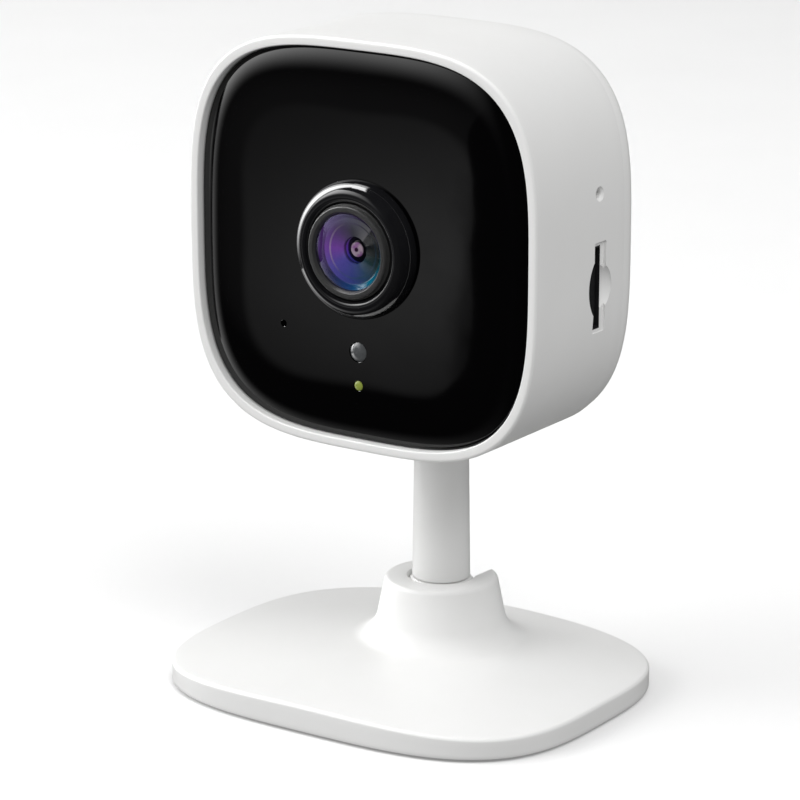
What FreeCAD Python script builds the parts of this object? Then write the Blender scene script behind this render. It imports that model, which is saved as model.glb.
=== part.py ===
"""Indoor security camera: a squircle head on a stem whose ball foot turns in a socket
in a weighted base.  Millimetres, +Z up.  The origin is on the table under the middle of
the base, and the lens looks along -Y.  Each named solid is written to parts/NODE.step."""

import FreeCAD, Part
import math
import os
from FreeCAD import Vector

# ---------------------------------------------------------------- overall sizes
total_height = 98.9
base_width = 67.6
base_depth = 54.8
base_power = 3.25            # superellipse exponent of the base outline
head_width = 59.8
head_height = 59.8
head_power = 3.44            # superellipse exponent of the head outline
head_front_y = -13.3         # plane of the white rim round the dark panel
housing_length = 23.6        # rim plane to the rear seam
rear_cover_depth = 4.1       # rear cover, along Y
seam_gap = 0.25
seam_step = 0.25             # rear cover stands this far inside the housing outline

# ---------------------------------------------------------------- clearances
loose_gap = 0.15             # drop-in pieces
board_gap = 0.4              # board edge to wall
running_gap = 0.05           # ball in its seat, shaft in its bore
slide_gap = 0.12             # card and filter frame in their guides
screw_gap = 0.05             # screw shank in its hole
swing_gap = 0.3              # stem in the base notch

# ---------------------------------------------------------------- base
foot_pad_depth = 0.4         # rubber pad below the shell edge
foot_pad_thickness = 1.0
base_wall = 1.8
base_roof = 1.6
base_crown_z = 5.4           # top of the shallow dome
base_dome_radius = 330.0
base_edge_round = 0.5
cover_thickness = 1.4
cover_ledge = 0.2            # cover sits this far above the shell edge
ballast_inset = 10.4
foot_pad_margin = 3.0
foot_pad_band = 4.5
cover_ledge_depth = 0.6      # how far the cover's ledge cuts into the shell wall
cover_screw_head = 0.6       # thin heads, hidden under the foot pad
cover_screw_share = 0.62     # cover screws, as a share of the base's half sizes
keyhole_pitch = 26.0
keyhole_y = -8.0
keyhole_head_radius = 3.4
keyhole_slot_radius = 1.7
keyhole_slot_length = 5.0

# ---------------------------------------------------------------- ball foot and socket
stem_y = 8.4                 # axis of the stem, behind the middle of the base
ball_z = 10.0
ball_radius = 6.2
boss_top_z = 14.45
boss_top_radius = 8.45
boss_foot_radius = 10.3
boss_rim_round = 1.0
boss_fillet = 3.0
boss_lip_rise = 0.25         # the top face rises towards its hole
socket_mouth_radius = 5.1
cup_wall = 0.85
cup_rim_drop = 0.4
cup_hole_radius = 3.0
spring_thickness = 0.35

# ---------------------------------------------------------------- stem
stem_foot_radius = 4.35
stem_top_radius = 4.05
stem_bore_radius = 2.9
stem_shoulder_rise = 12.0    # bolt shoulder above the stem foot
stem_flange_thickness = 2.0
stem_flange_half = 10.5
pivot_bolt_radius = 1.5
pivot_bolt_head_radius = 2.6
pivot_bolt_head = 1.8
pivot_bolt_depth = 7.5       # thread in the ball
washer_thickness = 0.5

# ---------------------------------------------------------------- housing
rim_width = 1.4
rim_round = 0.45
housing_wall = 2.2
panel_recess = 1.3           # rim plane to the panel's edge
panel_edge_thickness = 1.6
panel_crown = 1.3            # how far the panel swells forward of its edge
panel_step = 0.35
adhesive_thickness = 0.3
ledge_thickness = 1.2
ledge_width = 2.3
post_radius = 2.8
post_inset = 2.2
rear_round = 3.0
rear_wall = 2.0
tab_length = 2.4
tab_thickness = 1.2
tab_half_width = 10.0

# ---------------------------------------------------------------- screws
small_screw_radius = 1.0
small_screw_head_radius = 1.8
small_screw_head = 1.1
counterbore_depth = 1.3

# ---------------------------------------------------------------- lens
lens_front_y = -16.2
lens_flange_radius = 6.95
lens_flange_length = 4.6
lens_thread_radius = 5.95
lens_rear_y = -2.4
front_glass_radius = 5.55
front_glass_crown = 0.95
inner_glass_radius = 4.35
iris_radius = 1.5
lens_wall_lip = 0.9
collar_foot_radius = 10.1
collar_top_radius = 7.9
collar_sleeve_radius = 8.8
collar_drop = 0.35           # collar's top behind the barrel's front
collar_sleeve_end = 0.5      # sleeve's end behind the panel

# ---------------------------------------------------------------- boards
board_thickness = 1.0
led_board_y = -7.4           # front face
led_board_hole = 9.3
sensor_board_y = 1.3
sensor_board_half = 16.8
main_board_y = 6.2
main_board_thickness = 1.2
spacer_radius = 1.9
spacer_side = 14.0
spacer_up = 13.6
spacer_down_left = 6.5       # keeps clear of the microphone
spacer_down_right = 13.6     # keeps clear of the card socket

# ---------------------------------------------------------------- filter slide
filter_travel = 6.4
filter_window = 5.2
filter_frame_wall = 0.6
filter_frame_height = 6.4
filter_frame_thickness = 0.7
holder_half_x = 11.3
holder_half_z = 7.0
holder_tower_radius = 8.0
holder_front_y = -9.2
sensor_pocket = 4.6          # half side of the pocket over the image sensor
filter_tab_left = -4.7       # the tab that carries the magnet
filter_tab_right = -1.7
filter_tab_drop = 1.8        # top of the tab below the holder's top
coil_height = 4.2

# ---------------------------------------------------------------- front face details
window_drop = 15.1           # light sensor window below the lens axis
window_radius = 1.4
status_drop = 20.1
status_radius = 0.7
microphone_side = 13.1
microphone_drop = 12.7
microphone_hole = 0.45
infrared_ring = 17.2
infrared_angles = (18.0, 58.0, 122.0, 162.0)

# ---------------------------------------------------------------- right side details
port_y = 3.5                 # middle of the card and of the reset pin
card_length = 15.0
card_width = 11.0
card_thickness = 1.0
card_inset = 1.0             # card end below the housing surface
card_drop = 4.9              # card middle below the lens axis
socket_wall = 0.4
slot_recess_depth = 1.2
slot_recess_front = 1.3      # recess edge in front of the card's middle
slot_recess_back = 2.1
slot_recess_half = 6.6
scoop_radius = 3.5
scoop_y_offset = 1.3
scoop_depth = 1.6
reset_rise = 8.7
reset_hole_radius = 0.75
reset_travel = 0.3
reset_body_depth = 5.4       # switch body's back, inside the wall
reset_body_length = 3.2
reset_half_y = 0.8
reset_pin_half_y = 0.5
reset_pin_half_z = 0.9

# ---------------------------------------------------------------- rear details
speaker_rise = 5.0
speaker_radius = 10.0
speaker_height = 3.4
gasket_thickness = 0.4
grille_hole_radius = 0.6
grille_pitch = 2.3
jack_half_x = 4.5
jack_height = 7.4
jack_above_flange = 3.5
jack_depth = 9.0
jack_nose_radius = 2.9
jack_bore_radius = 1.8
jack_bore_depth = 8.0
jack_pin_radius = 0.6

# ---------------------------------------------------------------- worked-out places
head_half_x = head_width / 2
head_half_z = head_height / 2
head_z = total_height - head_half_z
head_bottom_z = head_z - head_half_z
seam_y = head_front_y + housing_length
rear_y = seam_y + seam_gap + rear_cover_depth
rear_inner_y = rear_y - rear_wall
panel_edge_y = head_front_y + panel_recess
panel_back_y = panel_edge_y + panel_edge_thickness
panel_face_y = panel_edge_y - panel_crown
ledge_front_y = panel_back_y + adhesive_thickness
ledge_back_y = ledge_front_y + ledge_thickness
cavity_half_x = head_half_x - housing_wall
cavity_half_z = head_half_z - housing_wall
panel_open_x = head_half_x - rim_width
panel_open_z = head_half_z - rim_width
corner_share = 2 ** (-1 / head_power)
post_x = cavity_half_x * corner_share - post_inset
post_z = cavity_half_z * corner_share - post_inset
led_board_back_y = led_board_y + board_thickness
flange_back_y = lens_front_y + lens_flange_length
main_board_back_y = main_board_y + main_board_thickness
shell_z = foot_pad_depth
cover_z = shell_z + cover_ledge
cover_top_z = cover_z + cover_thickness
foot_pad_seat = foot_pad_thickness - shell_z - cover_ledge
cover_seat_z = foot_pad_thickness + running_gap + cover_screw_head
cover_screw_x = cover_screw_share * base_width / 2
cover_screw_y = cover_screw_share * base_depth / 2
cover_screws = [(sx * cover_screw_x, sy * cover_screw_y) for sx in (-1, 1) for sy in (-1, 1)]
dome_z = base_crown_z - base_dome_radius
seat_radius = ball_radius + running_gap
cup_radius = seat_radius + cup_wall
cup_bore_radius = cup_radius + loose_gap
cup_bottom_z = ball_z - seat_radius - cup_wall
stem_cut_rise = math.sqrt(ball_radius ** 2 - stem_foot_radius ** 2)
stem_foot_z = ball_z + stem_cut_rise
notch_half = stem_foot_radius + swing_gap
flange_z = head_bottom_z + housing_wall
flange_top_z = flange_z + stem_flange_thickness
main_board_bottom_z = flange_top_z + jack_above_flange - 0.6
filter_y = lens_rear_y + 1.3
filter_half_z = filter_frame_height / 2
frame_left = -filter_travel - filter_window / 2 - filter_frame_wall
frame_right = filter_window / 2 + filter_frame_wall
card_z = head_z - card_drop
card_end_x = head_half_x - card_inset
reset_body_x = cavity_half_x - reset_body_depth
reset_z = head_z + reset_rise
jack_bottom_z = flange_top_z + jack_above_flange
jack_z = jack_bottom_z + jack_height / 2
speaker_z = head_z + speaker_rise


# ---------------------------------------------------------------- shape helpers
def outline(half_a, half_b, power, count=48):
    """Points round a superellipse, from an upper corner, evenly spaced in angle."""
    points = []
    for i in range(count):
        angle = 0.75 * math.pi + 2 * math.pi * i / count
        reach_a = abs(math.cos(angle) / half_a) ** power
        reach_b = abs(math.sin(angle) / half_b) ** power
        radius = (reach_a + reach_b) ** (-1 / power)
        points.append((radius * math.cos(angle), radius * math.sin(angle)))
    return points


def closed_wire(points):
    curve = Part.BSplineCurve()
    curve.interpolate(points, PeriodicFlag=True)
    return Part.Wire([curve.toShape()])


def head_wire(half_x, half_z, y):
    """Head outline in an XZ plane."""
    return closed_wire([Vector(a, y, head_z + b) for a, b in outline(half_x, half_z, head_power)])


def head_prism(half_x, half_z, y0, y1):
    face = Part.Face(head_wire(half_x, half_z, y0))
    return face.extrude(Vector(0, y1 - y0, 0))


def base_prism(inset, z0, z1):
    """Base outline in an XY plane, drawn in by inset, raised from z0 to z1."""
    pairs = outline(base_width / 2 - inset, base_depth / 2 - inset, base_power)
    face = Part.Face(closed_wire([Vector(a, b, z0) for a, b in pairs]))
    return face.extrude(Vector(0, 0, z1 - z0))


def box(x0, x1, y0, y1, z0, z1):
    return Part.makeBox(x1 - x0, y1 - y0, z1 - z0, Vector(x0, y0, z0))


def cylinder(radius, start, end):
    """Round bar between two points."""
    start = Vector(*start)
    axis = Vector(*end) - start
    return Part.makeCylinder(radius, axis.Length, start, axis)


def along_y(radius, y0, y1, x=0.0, z=head_z):
    return cylinder(radius, (x, y0, z), (x, y1, z))


def along_z(radius, z0, z1, x=0.0, y=stem_y):
    return cylinder(radius, (x, y, z0), (x, y, z1))


def turned(profile, origin, axis):
    """Solid of revolution.  profile holds (radius, height) pairs, or a triple of pairs
    for an arc's middle and end point, and runs round the section once."""
    axis = Vector(*axis)
    origin = Vector(*origin)
    side = Vector(1, 0, 0)

    def place(pair):
        return origin + side * pair[0] + axis * pair[1]

    edges = []
    here = place(profile[0])
    for item in profile[1:] + [profile[0]]:
        if isinstance(item[0], tuple):
            middle = place(item[0])
            there = place(item[1])
            edges.append(Part.Arc(here, middle, there).toShape())
        else:
            there = place(item)
            if (there - here).Length < 1e-6:
                continue
            edges.append(Part.LineSegment(here, there).toShape())
        here = there
    face = Part.Face(Part.Wire(edges))
    return face.revolve(origin, axis, 360)


def cap(vertex, radius, edge):
    """Middle and end point of a ball-shaped cap's arc, from its vertex on the axis."""
    rise = edge - vertex
    ball = (radius ** 2 + rise ** 2) / (2 * rise)
    middle = vertex + ball - math.copysign(math.sqrt(ball ** 2 - radius ** 2 / 4), ball)
    return (radius / 2, middle), (radius, edge)


def cap_in(radius, edge, vertex):
    """The same cap, run from its edge to its vertex."""
    middle, _ = cap(vertex, radius, edge)
    return middle, (0.0, vertex)


def lens_turned(profile):
    """Solid of revolution about the lens axis; heights are Y values."""
    return turned(profile, (0, 0, head_z), (0, 1, 0))


def stem_turned(profile):
    """Solid of revolution about the stem axis; heights are Z values."""
    return turned(profile, (0, stem_y, 0), (0, 0, 1))


def round_edges(shape, radius, chosen):
    """Fillet the edges for which chosen(edge) is true."""
    edges = [edge for edge in shape.Edges if chosen(edge)]
    return shape.makeFillet(radius, edges)


def at_y(y):
    """Edges that lie in the plane Y = y."""
    return lambda edge: abs(edge.BoundBox.YMin - y) < 1e-4 and abs(edge.BoundBox.YMax - y) < 1e-4


def screw(start, end, length, head=small_screw_head):
    """Pan-head screw: the head stands at start, and the shank runs length towards end."""
    start = Vector(*start)
    way = (Vector(*end) - start).normalize()
    shank = Part.makeCylinder(small_screw_radius, length, start, way)
    cap = Part.makeCylinder(small_screw_head_radius, head, start - way * head, way)
    cross = Part.makeBox(0.5, 2.4, 0.6, Vector(-0.25, -1.2, -0.1))
    cross = cross.fuse(Part.makeBox(2.4, 0.5, 0.6, Vector(-1.2, -0.25, -0.1)))
    turn = FreeCAD.Rotation(Vector(0, 0, 1), way)
    cross.Placement = FreeCAD.Placement(start - way * head, turn)
    return shank.fuse(cap).cut(cross).removeSplitter()


def post_places():
    return [(sx * post_x, head_z + sz * post_z) for sx in (-1, 1) for sz in (-1, 1)]


def stem_notch():
    """Slot in which the stem lies when it is folded back."""
    reach = base_depth
    slot = cylinder(notch_half, (0, stem_y, ball_z), (0, stem_y + reach, ball_z))
    above = box(-notch_half, notch_half, stem_y, stem_y + reach, ball_z, boss_top_z + 3)
    return slot.fuse(above)


# ---------------------------------------------------------------- base pieces
def dome(radius):
    """Large ball whose top is the base's crown; its seam and poles are turned away."""
    ball = Part.makeSphere(radius, Vector(0, 0, dome_z))
    ball.rotate(Vector(0, 0, dome_z), Vector(0, 1, 0), 90)
    return ball


def make_base_shell():
    """White moulding: shallow domed plate with a hollow boss that holds the ball."""
    plate = base_prism(0, shell_z, base_crown_z + 1).common(dome(base_dome_radius))
    plate = round_edges(plate, base_edge_round, lambda e: e.BoundBox.ZMin > shell_z + 1)
    boss = stem_turned([
        (0, shell_z + 1), (boss_foot_radius, shell_z + 1), (boss_foot_radius, base_crown_z - 1),
        (boss_top_radius, boss_top_z - boss_rim_round),
        ((boss_top_radius - 0.29 * boss_rim_round, boss_top_z - 0.29 * boss_rim_round),
         (boss_top_radius - boss_rim_round, boss_top_z)),
        (socket_mouth_radius, boss_top_z + boss_lip_rise), (0, boss_top_z + boss_lip_rise)])
    body = plate.fuse(boss)

    def boss_foot(edge):
        size = edge.BoundBox
        inside = size.XMax < boss_foot_radius + 0.5 and size.YMin > stem_y - boss_foot_radius - 0.5
        return inside and size.ZMin > base_crown_z - 1.2 and size.ZMax < base_crown_z + 0.5
    body = round_edges(body, boss_fillet, boss_foot)
    hollow = base_prism(base_wall, shell_z - 1, base_crown_z).common(dome(base_dome_radius - base_roof))
    core = along_z(boss_foot_radius - 0.6, 0, boss_top_z)
    ledge = base_prism(base_wall - cover_ledge_depth, shell_z - 1, cover_top_z)
    body = body.cut(hollow.cut(core)).cut(ledge)
    body = body.cut(along_z(cup_bore_radius, -1, ball_z - cup_rim_drop / 2))
    body = body.cut(Part.makeSphere(seat_radius, Vector(0, stem_y, ball_z)))
    body = body.cut(along_z(socket_mouth_radius, ball_z, boss_top_z + 2))
    for x, y in cover_screws:
        peg = along_z(small_screw_head_radius + 0.6, cover_top_z, base_crown_z, x, y)
        peg = peg.common(dome(base_dome_radius - base_roof / 2))
        body = body.fuse(peg)
        roof = base_crown_z - base_roof
        body = body.cut(along_z(small_screw_radius + screw_gap, cover_top_z - 1, roof, x, y))
    return body.cut(stem_notch())


def keyhole(x, z0, z1, extra=0.0):
    """Entry hole and slot for a wall screw's head and neck."""
    y1 = keyhole_y + keyhole_slot_length
    radius = keyhole_slot_radius + extra
    shape = along_z(keyhole_head_radius + extra, z0, z1, x, keyhole_y)
    shape = shape.fuse(box(x - radius, x + radius, keyhole_y, y1, z0, z1))
    return shape.fuse(along_z(radius, z0, z1, x, y1))


def make_base_cover():
    """Flat plate that closes the base and carries the socket spring."""
    plate = base_prism(base_wall - cover_ledge_depth + loose_gap, cover_z, cover_top_z)
    for x in (-keyhole_pitch / 2, keyhole_pitch / 2):
        plate = plate.cut(keyhole(x, cover_z - 1, cover_top_z + 1))
    for x, y in cover_screws:
        plate = plate.cut(along_z(small_screw_radius + screw_gap, 0, cover_top_z + 1, x, y))
        plate = plate.cut(along_z(small_screw_head_radius + 0.1, 0, cover_seat_z, x, y))
    inset = base_wall + foot_pad_margin
    groove = base_prism(inset - loose_gap, 0, cover_z + foot_pad_seat)
    groove = groove.cut(base_prism(inset + foot_pad_band + loose_gap, 0, cover_top_z))
    return plate.cut(groove)


def make_foot_pad():
    """Rubber ring glued in a shallow groove; it is what stands on the table."""
    inset = base_wall + foot_pad_margin
    ring = base_prism(inset, 0, foot_pad_thickness)
    return ring.cut(base_prism(inset + foot_pad_band, -1, foot_pad_thickness + 1))


def make_ballast():
    """Cast zinc weight that fills the space under the dome."""
    low = cover_top_z + 0.1
    plate = base_prism(ballast_inset, low, base_crown_z)
    plate = plate.common(dome(base_dome_radius - base_roof - loose_gap))
    plate = plate.cut(along_z(boss_foot_radius + 0.4, 0, base_crown_z))
    for x in (-keyhole_pitch / 2, keyhole_pitch / 2):
        plate = plate.cut(keyhole(x, low - 1, low + 5, 0.6))
    for x, y in cover_screws:
        plate = plate.cut(along_z(small_screw_head_radius + 1.0, low - 1, low + 5, x, y))
    return plate


def make_socket_cup():
    """Slotted plastic cup that the spring presses up against the ball."""
    cup = along_z(cup_radius, cup_bottom_z, ball_z - cup_rim_drop)
    cup = cup.cut(Part.makeSphere(seat_radius, Vector(0, stem_y, ball_z)))
    cup = cup.cut(along_z(cup_hole_radius, 0, ball_z))
    return cup.cut(stem_notch())


def make_socket_spring():
    """Disc spring between the cover and the cup."""
    inner = cup_hole_radius + 0.6
    top = cup_bottom_z
    low = cover_top_z
    return stem_turned([(inner, top - spring_thickness), (cup_radius - 0.3, low),
                        (cup_radius - 0.3, low + spring_thickness), (inner, top)])


def make_cover_screws():
    length = base_crown_z - base_roof - cover_seat_z - 0.5
    return [screw((x, y, cover_seat_z), (x, y, total_height), length, cover_screw_head)
            for x, y in cover_screws]


# ---------------------------------------------------------------- pivot and stem
def make_pivot_ball():
    """Ball cut off level under the stem, with a threaded hole for the pivot bolt."""
    ball = Part.makeSphere(ball_radius, Vector(0, stem_y, ball_z))
    size = ball_radius + 1
    ball = ball.cut(box(-size, size, stem_y - size, stem_y + size, stem_foot_z - running_gap,
                        stem_foot_z + size))
    return ball.cut(along_z(pivot_bolt_radius + screw_gap / 2, stem_foot_z - pivot_bolt_depth - 0.5,
                            stem_foot_z + 1))


def make_pivot_bolt():
    """Shouldered bolt on which the stem turns."""
    seat_z = stem_foot_z + stem_shoulder_rise + washer_thickness
    bolt = along_z(pivot_bolt_radius, stem_foot_z - pivot_bolt_depth, seat_z)
    bolt = bolt.fuse(along_z(pivot_bolt_head_radius, seat_z, seat_z + pivot_bolt_head))
    key = Part.makePolygon([
        Vector(1.2 * math.cos(math.radians(60 * i)), stem_y + 1.2 * math.sin(math.radians(60 * i)),
               seat_z + 0.7) for i in range(7)])
    return bolt.cut(Part.Face(key).extrude(Vector(0, 0, 3))).removeSplitter()


def make_pivot_washer():
    """Spring washer that sets how stiffly the stem turns."""
    low = stem_foot_z + stem_shoulder_rise + running_gap
    high = low + washer_thickness - 2 * running_gap
    ring = along_z(pivot_bolt_head_radius, low, high)
    return ring.cut(along_z(pivot_bolt_radius + running_gap, low - 1, high + 1))


def flange_screw_places():
    return [(sx * (stem_flange_half - 2.9), stem_y - 3.4) for sx in (-1, 1)]


def make_stem():
    """Slightly tapered tube with a flange that is screwed inside the head."""
    shape = stem_turned([(0, stem_foot_z), (stem_foot_radius, stem_foot_z),
                         (stem_top_radius, head_bottom_z), (stem_top_radius, flange_z), (0, flange_z)])
    flange = box(-stem_flange_half, stem_flange_half, stem_y - 6.4, stem_y + 1.0, flange_z, flange_top_z)
    flange = round_edges(flange, 1.5, lambda e: e.BoundBox.ZLength > stem_flange_thickness - 0.1)
    flange = flange.common(head_prism(cavity_half_x - 0.03, cavity_half_z - 0.03, -head_width, seam_y))
    neck = along_z(stem_top_radius, flange_z, flange_top_z)
    neck = neck.cut(box(-head_width, head_width, rear_inner_y - loose_gap, rear_y + 9, flange_z, total_height))
    shape = shape.fuse([flange, neck])
    shape = shape.cut(along_z(stem_bore_radius, stem_foot_z + stem_shoulder_rise, flange_top_z + 1))
    shape = shape.cut(along_z(pivot_bolt_radius + running_gap, stem_foot_z - 1, flange_top_z))
    for x, y in flange_screw_places():
        shape = shape.cut(along_z(small_screw_radius + screw_gap, flange_z - 1, flange_top_z + 1, x, y))
    return shape.removeSplitter()


def make_flange_screws():
    length = stem_flange_thickness + housing_wall - 0.8
    return [screw((x, y, flange_top_z), (x, y, 0), length) for x, y in flange_screw_places()]


# ---------------------------------------------------------------- head shells
def stem_hole():
    radius = max(stem_foot_radius, stem_top_radius) + loose_gap
    return along_z(radius, head_bottom_z - 1, flange_z + 0.3)


def make_front_housing():
    """White tube with the rim round the panel, screw posts, card slot and reset hole."""
    body = head_prism(head_half_x, head_half_z, head_front_y, seam_y)
    body = round_edges(body, rim_round, at_y(head_front_y))
    body = body.cut(head_prism(panel_open_x, panel_open_z, head_front_y - 1, ledge_front_y))
    body = body.cut(head_prism(cavity_half_x - ledge_width, cavity_half_z - ledge_width,
                               panel_back_y - 1, ledge_back_y + 1))
    cavity = head_prism(cavity_half_x, cavity_half_z, ledge_back_y, seam_y + 1)
    posts = []
    for x, z in post_places():
        post = along_y(post_radius, led_board_back_y, seam_y - 0.2, x, z)
        arm = Part.makeBox(post_inset + 4, seam_y - 0.2 - led_board_back_y, 2.0, Vector(0, 0, -1.0))
        turn = FreeCAD.Rotation(Vector(0, 1, 0), -math.degrees(math.atan2(z - head_z, x)))
        arm.Placement = FreeCAD.Placement(Vector(x, led_board_back_y, z), turn)
        post = post.fuse(arm)
        post = post.cut(along_y(small_screw_radius + screw_gap, led_board_back_y - 1,
                                led_board_back_y + 5, x, z))
        posts.append(post.cut(along_y(small_screw_radius + screw_gap, seam_y - 8, seam_y, x, z)))
    body = body.cut(cavity)
    outer = head_prism(head_half_x - 0.5, head_half_z - 0.5, ledge_back_y, seam_y)
    for post in posts:
        body = body.fuse(post.common(outer))
    body = body.cut(stem_hole())
    for x, y in flange_screw_places():
        body = body.cut(along_z(small_screw_radius + screw_gap, head_bottom_z + 0.6, flange_z + 1, x, y))
    return body.cut(side_openings()).removeSplitter()


def side_openings():
    """Card slot with its recess and finger scoop, and the flared reset hole."""
    slot_half_y = card_thickness / 2 + 0.25
    slot_half_z = card_width / 2 + 0.3
    slot = box(cavity_half_x - 2, head_half_x + 1, port_y - slot_half_y, port_y + slot_half_y,
               card_z - slot_half_z, card_z + slot_half_z)
    recess = box(head_half_x - slot_recess_depth, head_half_x + 1, port_y - slot_recess_front,
                 port_y + slot_recess_back, card_z - slot_recess_half, card_z + slot_recess_half)
    bowl_radius = (scoop_radius ** 2 + scoop_depth ** 2) / (2 * scoop_depth)
    bowl = Part.makeSphere(bowl_radius, Vector(head_half_x - scoop_depth + bowl_radius,
                                               port_y + scoop_y_offset, card_z))
    pin = cylinder(reset_hole_radius, (cavity_half_x - 2, port_y, reset_z), (head_half_x + 1, port_y, reset_z))
    flare = Part.makeCone(reset_hole_radius, reset_hole_radius + 0.8, 0.8,
                          Vector(head_half_x - 0.45, port_y, reset_z), Vector(1, 0, 0))
    return slot.fuse([recess, bowl, pin, flare])


def grille_places():
    """Rings of holes over the speaker."""
    places = [(0.0, speaker_z)]
    for ring in range(1, 4):
        count = 6 * ring
        for i in range(count):
            angle = 2 * math.pi * i / count
            reach = ring * grille_pitch
            places.append((reach * math.cos(angle), speaker_z + reach * math.sin(angle)))
    return places


def board_post_places():
    return [(-9.0, head_z - 14.5), (9.0, head_z - 14.5), (0.0, head_z + 21.5)]


def make_rear_cover():
    """White dish with the speaker grille, power inlet hole and board posts."""
    half_x = head_half_x - seam_step
    half_z = head_half_z - seam_step
    start_y = seam_y + seam_gap
    body = head_prism(half_x, half_z, start_y, rear_y)
    body = round_edges(body, rear_round, at_y(rear_y))
    body = body.cut(head_prism(half_x - housing_wall, half_z - housing_wall, start_y - 1, rear_inner_y))
    inner_x = cavity_half_x - loose_gap
    inner_z = cavity_half_z - loose_gap
    tabs = head_prism(inner_x, inner_z, start_y - tab_length, start_y + 1)
    tabs = tabs.cut(head_prism(inner_x - tab_thickness, inner_z - tab_thickness,
                               start_y - tab_length - 1, start_y + 2))
    wide = 2 * head_width
    upright = box(-tab_half_width, tab_half_width, -wide, wide, head_z, head_z + wide)
    level = box(-wide, wide, -wide, wide, head_z - tab_half_width, head_z + tab_half_width)
    body = body.fuse(tabs.common(upright.fuse(level)))
    for x, z in board_post_places():
        body = body.fuse(along_y(2.3, main_board_back_y, rear_inner_y + 0.5, x, z))
        body = body.cut(along_y(small_screw_radius + screw_gap, main_board_back_y - 1,
                                main_board_back_y + 4.4, x, z))
    for x, z in post_places():
        sleeve = along_y(post_radius, seam_y + 0.1, rear_inner_y + 0.5, x, z)
        body = body.fuse(sleeve)
        body = body.cut(along_y(small_screw_radius + screw_gap, seam_y - 1, rear_y + 1, x, z))
        body = body.cut(along_y(small_screw_head_radius + 0.2, rear_y - counterbore_depth,
                                rear_y + 1, x, z))
    holes = [along_y(grille_hole_radius, rear_inner_y - 1, rear_y + 1, x, z) for x, z in grille_places()]
    body = body.cut(holes)
    body = body.cut(along_y(jack_nose_radius + 0.15, rear_inner_y - 1, rear_y + 1, 0, jack_z))
    return body.cut(stem_hole()).removeSplitter()


def make_rear_screws():
    y = rear_y - counterbore_depth
    return [screw((x, y, z), (x, 0, z), 8.0) for x, z in post_places()]


# ---------------------------------------------------------------- front panel
def panel_inset_half(inset):
    clear = rim_width + loose_gap + inset
    return head_half_x - clear, head_half_z - clear


def lens_details():
    """Places of the small holes in the panel: x, z and hole radius."""
    return [(0.0, head_z - window_drop, window_radius + running_gap),
            (0.0, head_z - status_drop, status_radius + running_gap),
            (-microphone_side, head_z - microphone_drop, microphone_hole)]


def make_front_panel():
    """Glossy dark panel that swells forward from a stepped edge."""
    half_x, half_z = panel_inset_half(0)
    plate = head_prism(half_x, half_z, panel_edge_y, panel_back_y)
    wires = []
    for share, rise in ((0.0, 0.0), (0.16, 0.46), (0.36, 0.76), (0.64, 0.94), (1.0, 1.0)):
        inset_x, inset_z = panel_inset_half(panel_step + 6.0 * share)
        wires.append(head_wire(inset_x, inset_z, panel_edge_y - panel_crown * rise))
    crown = Part.makeLoft(wires, True, False)
    panel = plate.fuse(crown)
    panel = panel.cut(along_y(collar_sleeve_radius + loose_gap / 2, panel_face_y - 1, panel_back_y + 1))
    for x, z, radius in lens_details():
        panel = panel.cut(along_y(radius, panel_face_y - 1, panel_back_y + 1, x, z))
    return panel


def make_panel_gasket():
    """Adhesive foam ring between the panel and the housing's ledge."""
    half_x, half_z = panel_inset_half(0.3)
    ring = head_prism(half_x, half_z, panel_back_y, ledge_front_y)
    inner_x = cavity_half_x - ledge_width + 0.1
    inner_z = cavity_half_z - ledge_width + 0.1
    return ring.cut(head_prism(inner_x, inner_z, panel_back_y - 1, ledge_front_y + 1))


# ---------------------------------------------------------------- lens
def make_lens_collar():
    """Glossy ring that flares from the barrel down to the panel."""
    bore = lens_flange_radius + 0.1
    foot_y = panel_face_y - 0.02
    top_y = lens_front_y + collar_drop
    back_y = panel_back_y + collar_sleeve_end
    middle = (collar_foot_radius - 0.45, foot_y - 0.62 * (foot_y - top_y))
    return lens_turned([(bore, back_y), (collar_sleeve_radius, back_y), (collar_sleeve_radius, foot_y),
                        (collar_foot_radius, foot_y), (middle, (collar_top_radius, top_y)),
                        (bore, top_y + 0.25)])


def make_lens_barrel():
    """Black screw-in barrel with a wide front flange."""
    glass_bore = front_glass_radius + running_gap
    inner_bore = inner_glass_radius + running_gap
    seat_y = lens_front_y + 4.1
    rear_seat_y = lens_rear_y - 0.9
    return lens_turned([
        (glass_bore, lens_front_y + 0.35), (glass_bore + 0.35, lens_front_y),
        (lens_flange_radius - 0.25, lens_front_y), (lens_flange_radius, lens_front_y + 0.25),
        (lens_flange_radius, flange_back_y), (lens_thread_radius, flange_back_y),
        (lens_thread_radius, lens_rear_y), (inner_bore - lens_wall_lip, lens_rear_y),
        (inner_bore - lens_wall_lip, rear_seat_y), (inner_bore, rear_seat_y),
        (inner_bore, seat_y), (glass_bore, seat_y)])


def make_front_glass():
    """Strongly curved outer element."""
    edge_y = lens_front_y + 0.35
    vertex_y = edge_y - front_glass_crown
    back_y = edge_y + 1.7
    rim = front_glass_radius - 0.9
    return lens_turned([(0, vertex_y), cap(vertex_y, front_glass_radius, edge_y),
                        (front_glass_radius, back_y), (rim, back_y), cap_in(rim, back_y, back_y - 1.1)])


def make_lens_spacer():
    low = lens_front_y + 2.1
    high = lens_front_y + 4.05
    return lens_turned([(inner_glass_radius - 0.5, high), (front_glass_radius, high),
                        (front_glass_radius, low), (inner_glass_radius + 0.4, low)])


def make_second_lens():
    low = lens_front_y + 4.15
    high = low + 3.2
    r = inner_glass_radius
    return lens_turned([(0, low + 0.7), cap(low + 0.7, r, low), (r, high),
                        (r - 0.6, high), cap_in(r - 0.6, high, high - 0.6)])


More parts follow.
